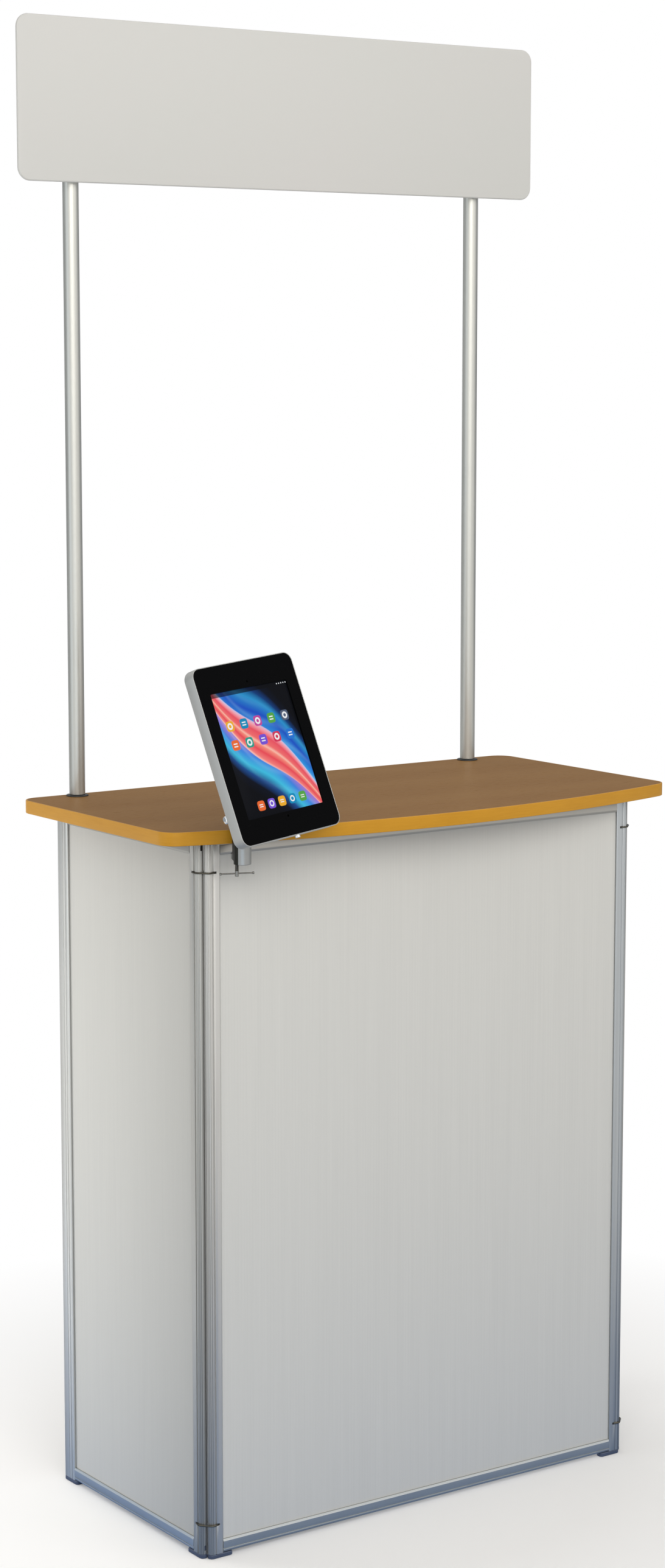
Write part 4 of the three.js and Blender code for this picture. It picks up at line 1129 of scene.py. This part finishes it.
lock_place = Place(joints["lock_turn"]["pos_m"], case.axes[0], -case.axes[1], -case.axes[2])
lock_points, lock_faces = socket_head(slot_recess, 1.0, 1.4, radius=3.6, height=0.0, soft=0.5, sides=96)
lock_points[lock_points[:, 2] == lock_points[-1, 2], 2] -= BARREL
made_for("lock_barrel", (lock_points, lock_faces), lock_place, chrome)
print("knob rows:", len(knob))

# %% [markdown]
# ## The tablet case
#
# The tray is folded metal with a large round edge at the back and a thin rim in front. One
# profile carried round its rounded outline makes the wall, the ledge for the cover and the
# pocket for the tablet; two lids close the back and the floor of the pocket. The cover is
# the CAD node with its arrises broken. The glass is a thin plate that carries the UV map
# of the picture.

# %% Tablet case
CASE_WIDTH, CASE_HEIGHT, CASE_CORNER, CASE_FRONT, CASE_DEPTH = 181.0, 234.0, 13.0, 66.0, 18.5
POCKET_INSET, POCKET_FLOOR, GLASS_BACK, GLASS_FACE, RIM, BACK_ROUND = 5.2, 55.3, 62.6, 63.5, 1.0, 3.5
WINDOW_DROP = 1.5
facing = Place(case.origin, case.axes[0], case.axes[2], -case.axes[1])
back = CASE_FRONT - CASE_DEPTH
round_back = (quarter(BACK_ROUND, 0, 8) * [1, -1] + [-BACK_ROUND, back + BACK_ROUND]).tolist()
tray = [(-POCKET_INSET, POCKET_FLOOR), (-POCKET_INSET, GLASS_FACE), (-RIM, GLASS_FACE),
        (-RIM, CASE_FRONT - 0.2), (0.2 - RIM, CASE_FRONT), (-0.4, CASE_FRONT),
        (-0.12, CASE_FRONT - 0.12), (0, CASE_FRONT - 0.4), *round_back]
case_outline = rounded_rectangle(CASE_WIDTH, CASE_HEIGHT, CASE_CORNER, 14)
made_for("case_tray", ringed(case_outline, tray), facing, silver)
softened("case_cover", gloss_black, width=0.45, segments=3)
dress(silver, frame["nodes"]["tablet_body"])

plate = ringed(rounded_rectangle(169.7, 221.7, 9.0, 8), soft_plate(GLASS_BACK, GLASS_FACE, 0.15))
glass = made_for("tablet_glass", plate, facing, lit_screen)


def map_picture(obj, place):
    """u and v are the drawn x and y, counted from the lower left corner of the window."""
    mesh = obj.data
    where = np.zeros(len(mesh.vertices) * 3, np.float32)
    mesh.vertices.foreach_get("co", where)
    drawn = (where.reshape(-1, 3) - place.origin) / MM @ place.axes.T
    window_low = [-SCREEN_WIDTH / 2, -SCREEN_HEIGHT / 2 - WINDOW_DROP]
    uv = (drawn[:, :2] - window_low) / [SCREEN_WIDTH, SCREEN_HEIGHT]
    corner = np.zeros(len(mesh.loops), np.int32)
    mesh.loops.foreach_get("vertex_index", corner)
    layer = mesh.uv_layers.new(name="picture")
    layer.data.foreach_set("uv", uv[corner].astype(np.float32).ravel())


map_picture(glass, facing)
print("case", CASE_WIDTH, "x", CASE_HEIGHT, "mm")

# %% [markdown]
# ## What is left, and small screws
#
# The pegs under the worktop and the screws up into the collars keep their CAD shapes. The
# clips behind the header are each fixed by two small socket screws.

# %% Hidden metals and clip screws
for node in ("left_locating_peg", "right_locating_peg", "left_socket_screw", "right_socket_screw"):
    dress(bright_zinc, frame["nodes"][node])

SCREW_APART, WING = 22.0, 2.5
head_points, head_faces = socket_head(hexagon, 1.2, 0.9, radius=2.5, height=1.5, soft=0.5, sides=36)
for side in ("left", "right"):
    heads = []
    for level in ("lower", "upper"):
        low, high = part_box(f"{side}_{level}_pole_clip")
        for shift in (-SCREW_APART / 2, SCREW_APART / 2):
            seat = ((low.x + high.x) / 2 + shift * MM, low.y + WING * MM, (low.z + high.z) / 2)
            spot = Place(seat, (1, 0, 0), (0, 0, -1), (0, 1, 0))
            heads.append((spot.of(head_points) / MM, head_faces))
    screws = piece(f"{side}_clip_screws", joined(heads), Place((0, 0, 0)))
    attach(screws, "header")
    dress(bright_zinc, screws)

# %% [markdown]
# ## Light and background
#
# A large warm lamp at the front left does most of the lighting. A smaller one at the front
# right and one behind fill in, and a faint one hangs above. A near lamp behind the left
# side lights the left panel more at its back than at its front, and a cool low lamp tints
# the foot of the panels. The world is white where the camera, a reflection or glass sees
# it and dim for the diffuse light, so the background adds little light to the counter.

# %% World and lamps
def world_light(strength, colour):
    """A dim light for diffuse rays, and plain white for every other look at the world."""
    world = bpy.data.worlds.new("studio")
    bpy.context.scene.world = world
    world.use_nodes = True
    nodes = Nodes(world.node_tree)
    background = world.node_tree.nodes["Background"]
    nodes.give(background.inputs["Color"], colour)
    nodes.give(background.inputs["Strength"], strength)
    white = nodes.node("Background", {}, {"Color": (1, 1, 1, 1), "Strength": 1.0})[0]
    rays = nodes.rays()
    looks = rays["Is Camera Ray"].most(rays["Is Glossy Ray"]).most(rays["Is Transmission Ray"])
    nodes.mix_shaders(looks, Number(nodes, background.outputs[0]), white, "World Output")


def soft_lamp(name, place, target, size, power, colour):
    data = bpy.data.lights.new(name, "AREA")
    data.shape, data.size, data.size_y = "RECTANGLE", *size
    data.energy, data.color = power, colour
    lamp = put_in(name, data)
    aim(lamp, place, Vector(target) - Vector(place))
    return lamp


world_light(0.5, (1.0, 0.985, 0.96, 1.0))
# place, target and size in metres, power in watts, and colour
lamps = {
    "front_lamp": ((-1.5, -3.4, 2.9), (0, 0, 1.3), (4.0, 2.4), 90, (1.0, 0.965, 0.915)),
    "right_lamp": ((2.0, -3.2, 3.3), (0, 0, 1.6), (2.4, 2.0), 24, (1.0, 0.965, 0.92)),
    "left_lamp": ((-1.2, 1.1, 0.5), (-0.36, 0.07, 0.45), (0.7, 1.2), 11, (1.0, 0.985, 0.955)),
    "top_lamp": ((0.2, 0.6, 3.9), (0, 0, 1.0), (2.2, 2.2), 3, (1.0, 1.0, 1.0)),
    "back_lamp": ((-0.4, 3.8, 1.8), (0, 0, 1.0), (2.6, 2.0), 36, (1.0, 0.985, 0.96)),
    "low_lamp": ((-2.0, -2.6, 0.3), (0, 0, 0.1), (2.4, 0.4), 5, (0.5, 0.74, 1.0)),
}
for name, values in lamps.items():
    lamp = soft_lamp(name, *values)
    lamp.visible_glossy = name != "left_lamp"
bpy.context.scene.view_settings.view_transform = "Standard"
print("lamps:", len(lamps))

# %% [markdown]
# ## The floor
#
# A plain pale disc catches a soft shadow. Near the counter it keeps that shadow, and
# further out it goes over to plain white, so that it has no edge in the picture.

# %% Floor
def floor_finish():
    """For diffuse light cool near the counter and warm further out. For the camera pale near
    the counter, where its shadow falls, and from there on a plain white that glows."""
    paint = Paint("pale_floor", Roughness=0.85, Specular_IOR_Level=0.1)
    x, y, _ = paint.split()
    away = (x * x + y * y) ** 0.5
    grain = paint.noise(4.0, 4.0)
    rays = paint.rays()
    through = rays["Is Camera Ray"].most(rays["Is Transmission Ray"])
    shade = paint.blend(away.above(1.3, 1.8), tone(116, 142, 182), tone(228, 225, 217))
    grey = paint.blend(grain * 0.1, shade, tone(120, 140, 174))
    paint.set("Base Color", paint.blend(through, grey, tone(250, 250, 250)))
    lit = (through * away.above(0.78, 0.9)).most(rays["Is Glossy Ray"] * away.above(2.6, 4.4))
    surface = Number(paint, paint.shader.outputs[0])
    paint.mix_shaders(lit, surface, paint.node("Emission")[0], "Material Output")
    return paint.material


def pale_floor(reach=9.0, rings=7, spokes=48):
    """A flat disc of rings, whose radius grows by equal steps."""
    radius = np.linspace(0, reach, rings)
    mesh = mesh_of("floor", *turned(np.stack([radius, np.zeros_like(radius)], -1), spokes))
    finish_mesh(mesh)
    floor = put_in("floor", mesh)
    dress(floor_finish(), floor)


pale_floor()
print("floor nodes:", len(bpy.data.materials["pale_floor"].node_tree.nodes))

# %% [markdown]
# ## Cards for the reflections
#
# Round metal shows the whole room as thin bright and dark bands. In an all-white studio it
# would look flat, so two upright cards stand far out beside and behind the counter, a long
# grey one and a short white one, and only reflections see them.

# %% Cards
def reflection_card(name, start, end, brightness, radius=3.4, low=0.35, high=2.7, steps=40):
    """An upright sheet on an arc of a circle round the counter, from one bearing to another
    in degrees. Only reflections see it: a grey card gives metal its dark edges, a white
    one its bright bands."""
    bearing = np.radians(np.linspace(start, end, steps))
    x, y = radius * np.cos(bearing), radius * np.sin(bearing)
    points = np.concatenate([np.stack([x, y, np.full_like(x, z)], -1) for z in (low, high)])
    card = put_in(name, mesh_of(name, points, grid_faces(2, steps, close_columns=False)))
    paint = Paint(name + "_finish", Base_Color=(0, 0, 0, 1), Roughness=1.0,
                  Specular_IOR_Level=0.0, Emission_Strength=1.0)
    level = brightness * np.array([0.92, 0.98, 1.04])
    mottled = paint.blend(paint.noise(1.5) * 0.2, (*level, 1.0), (*level * 0.8, 1.0))
    paint.set("Emission Color", mottled)
    dress(paint.material, card)
    card.visible_camera = card.visible_diffuse = False
    card.visible_transmission = card.visible_shadow = False


# first and last bearing in degrees, and brightness
cards = {"grey_card": (-30, 160, 0.4), "white_card": (160, 192, 1.5)}
for name, values in cards.items():
    reflection_card(name, *values)
print("cards:", ", ".join(cards))

# %% [markdown]
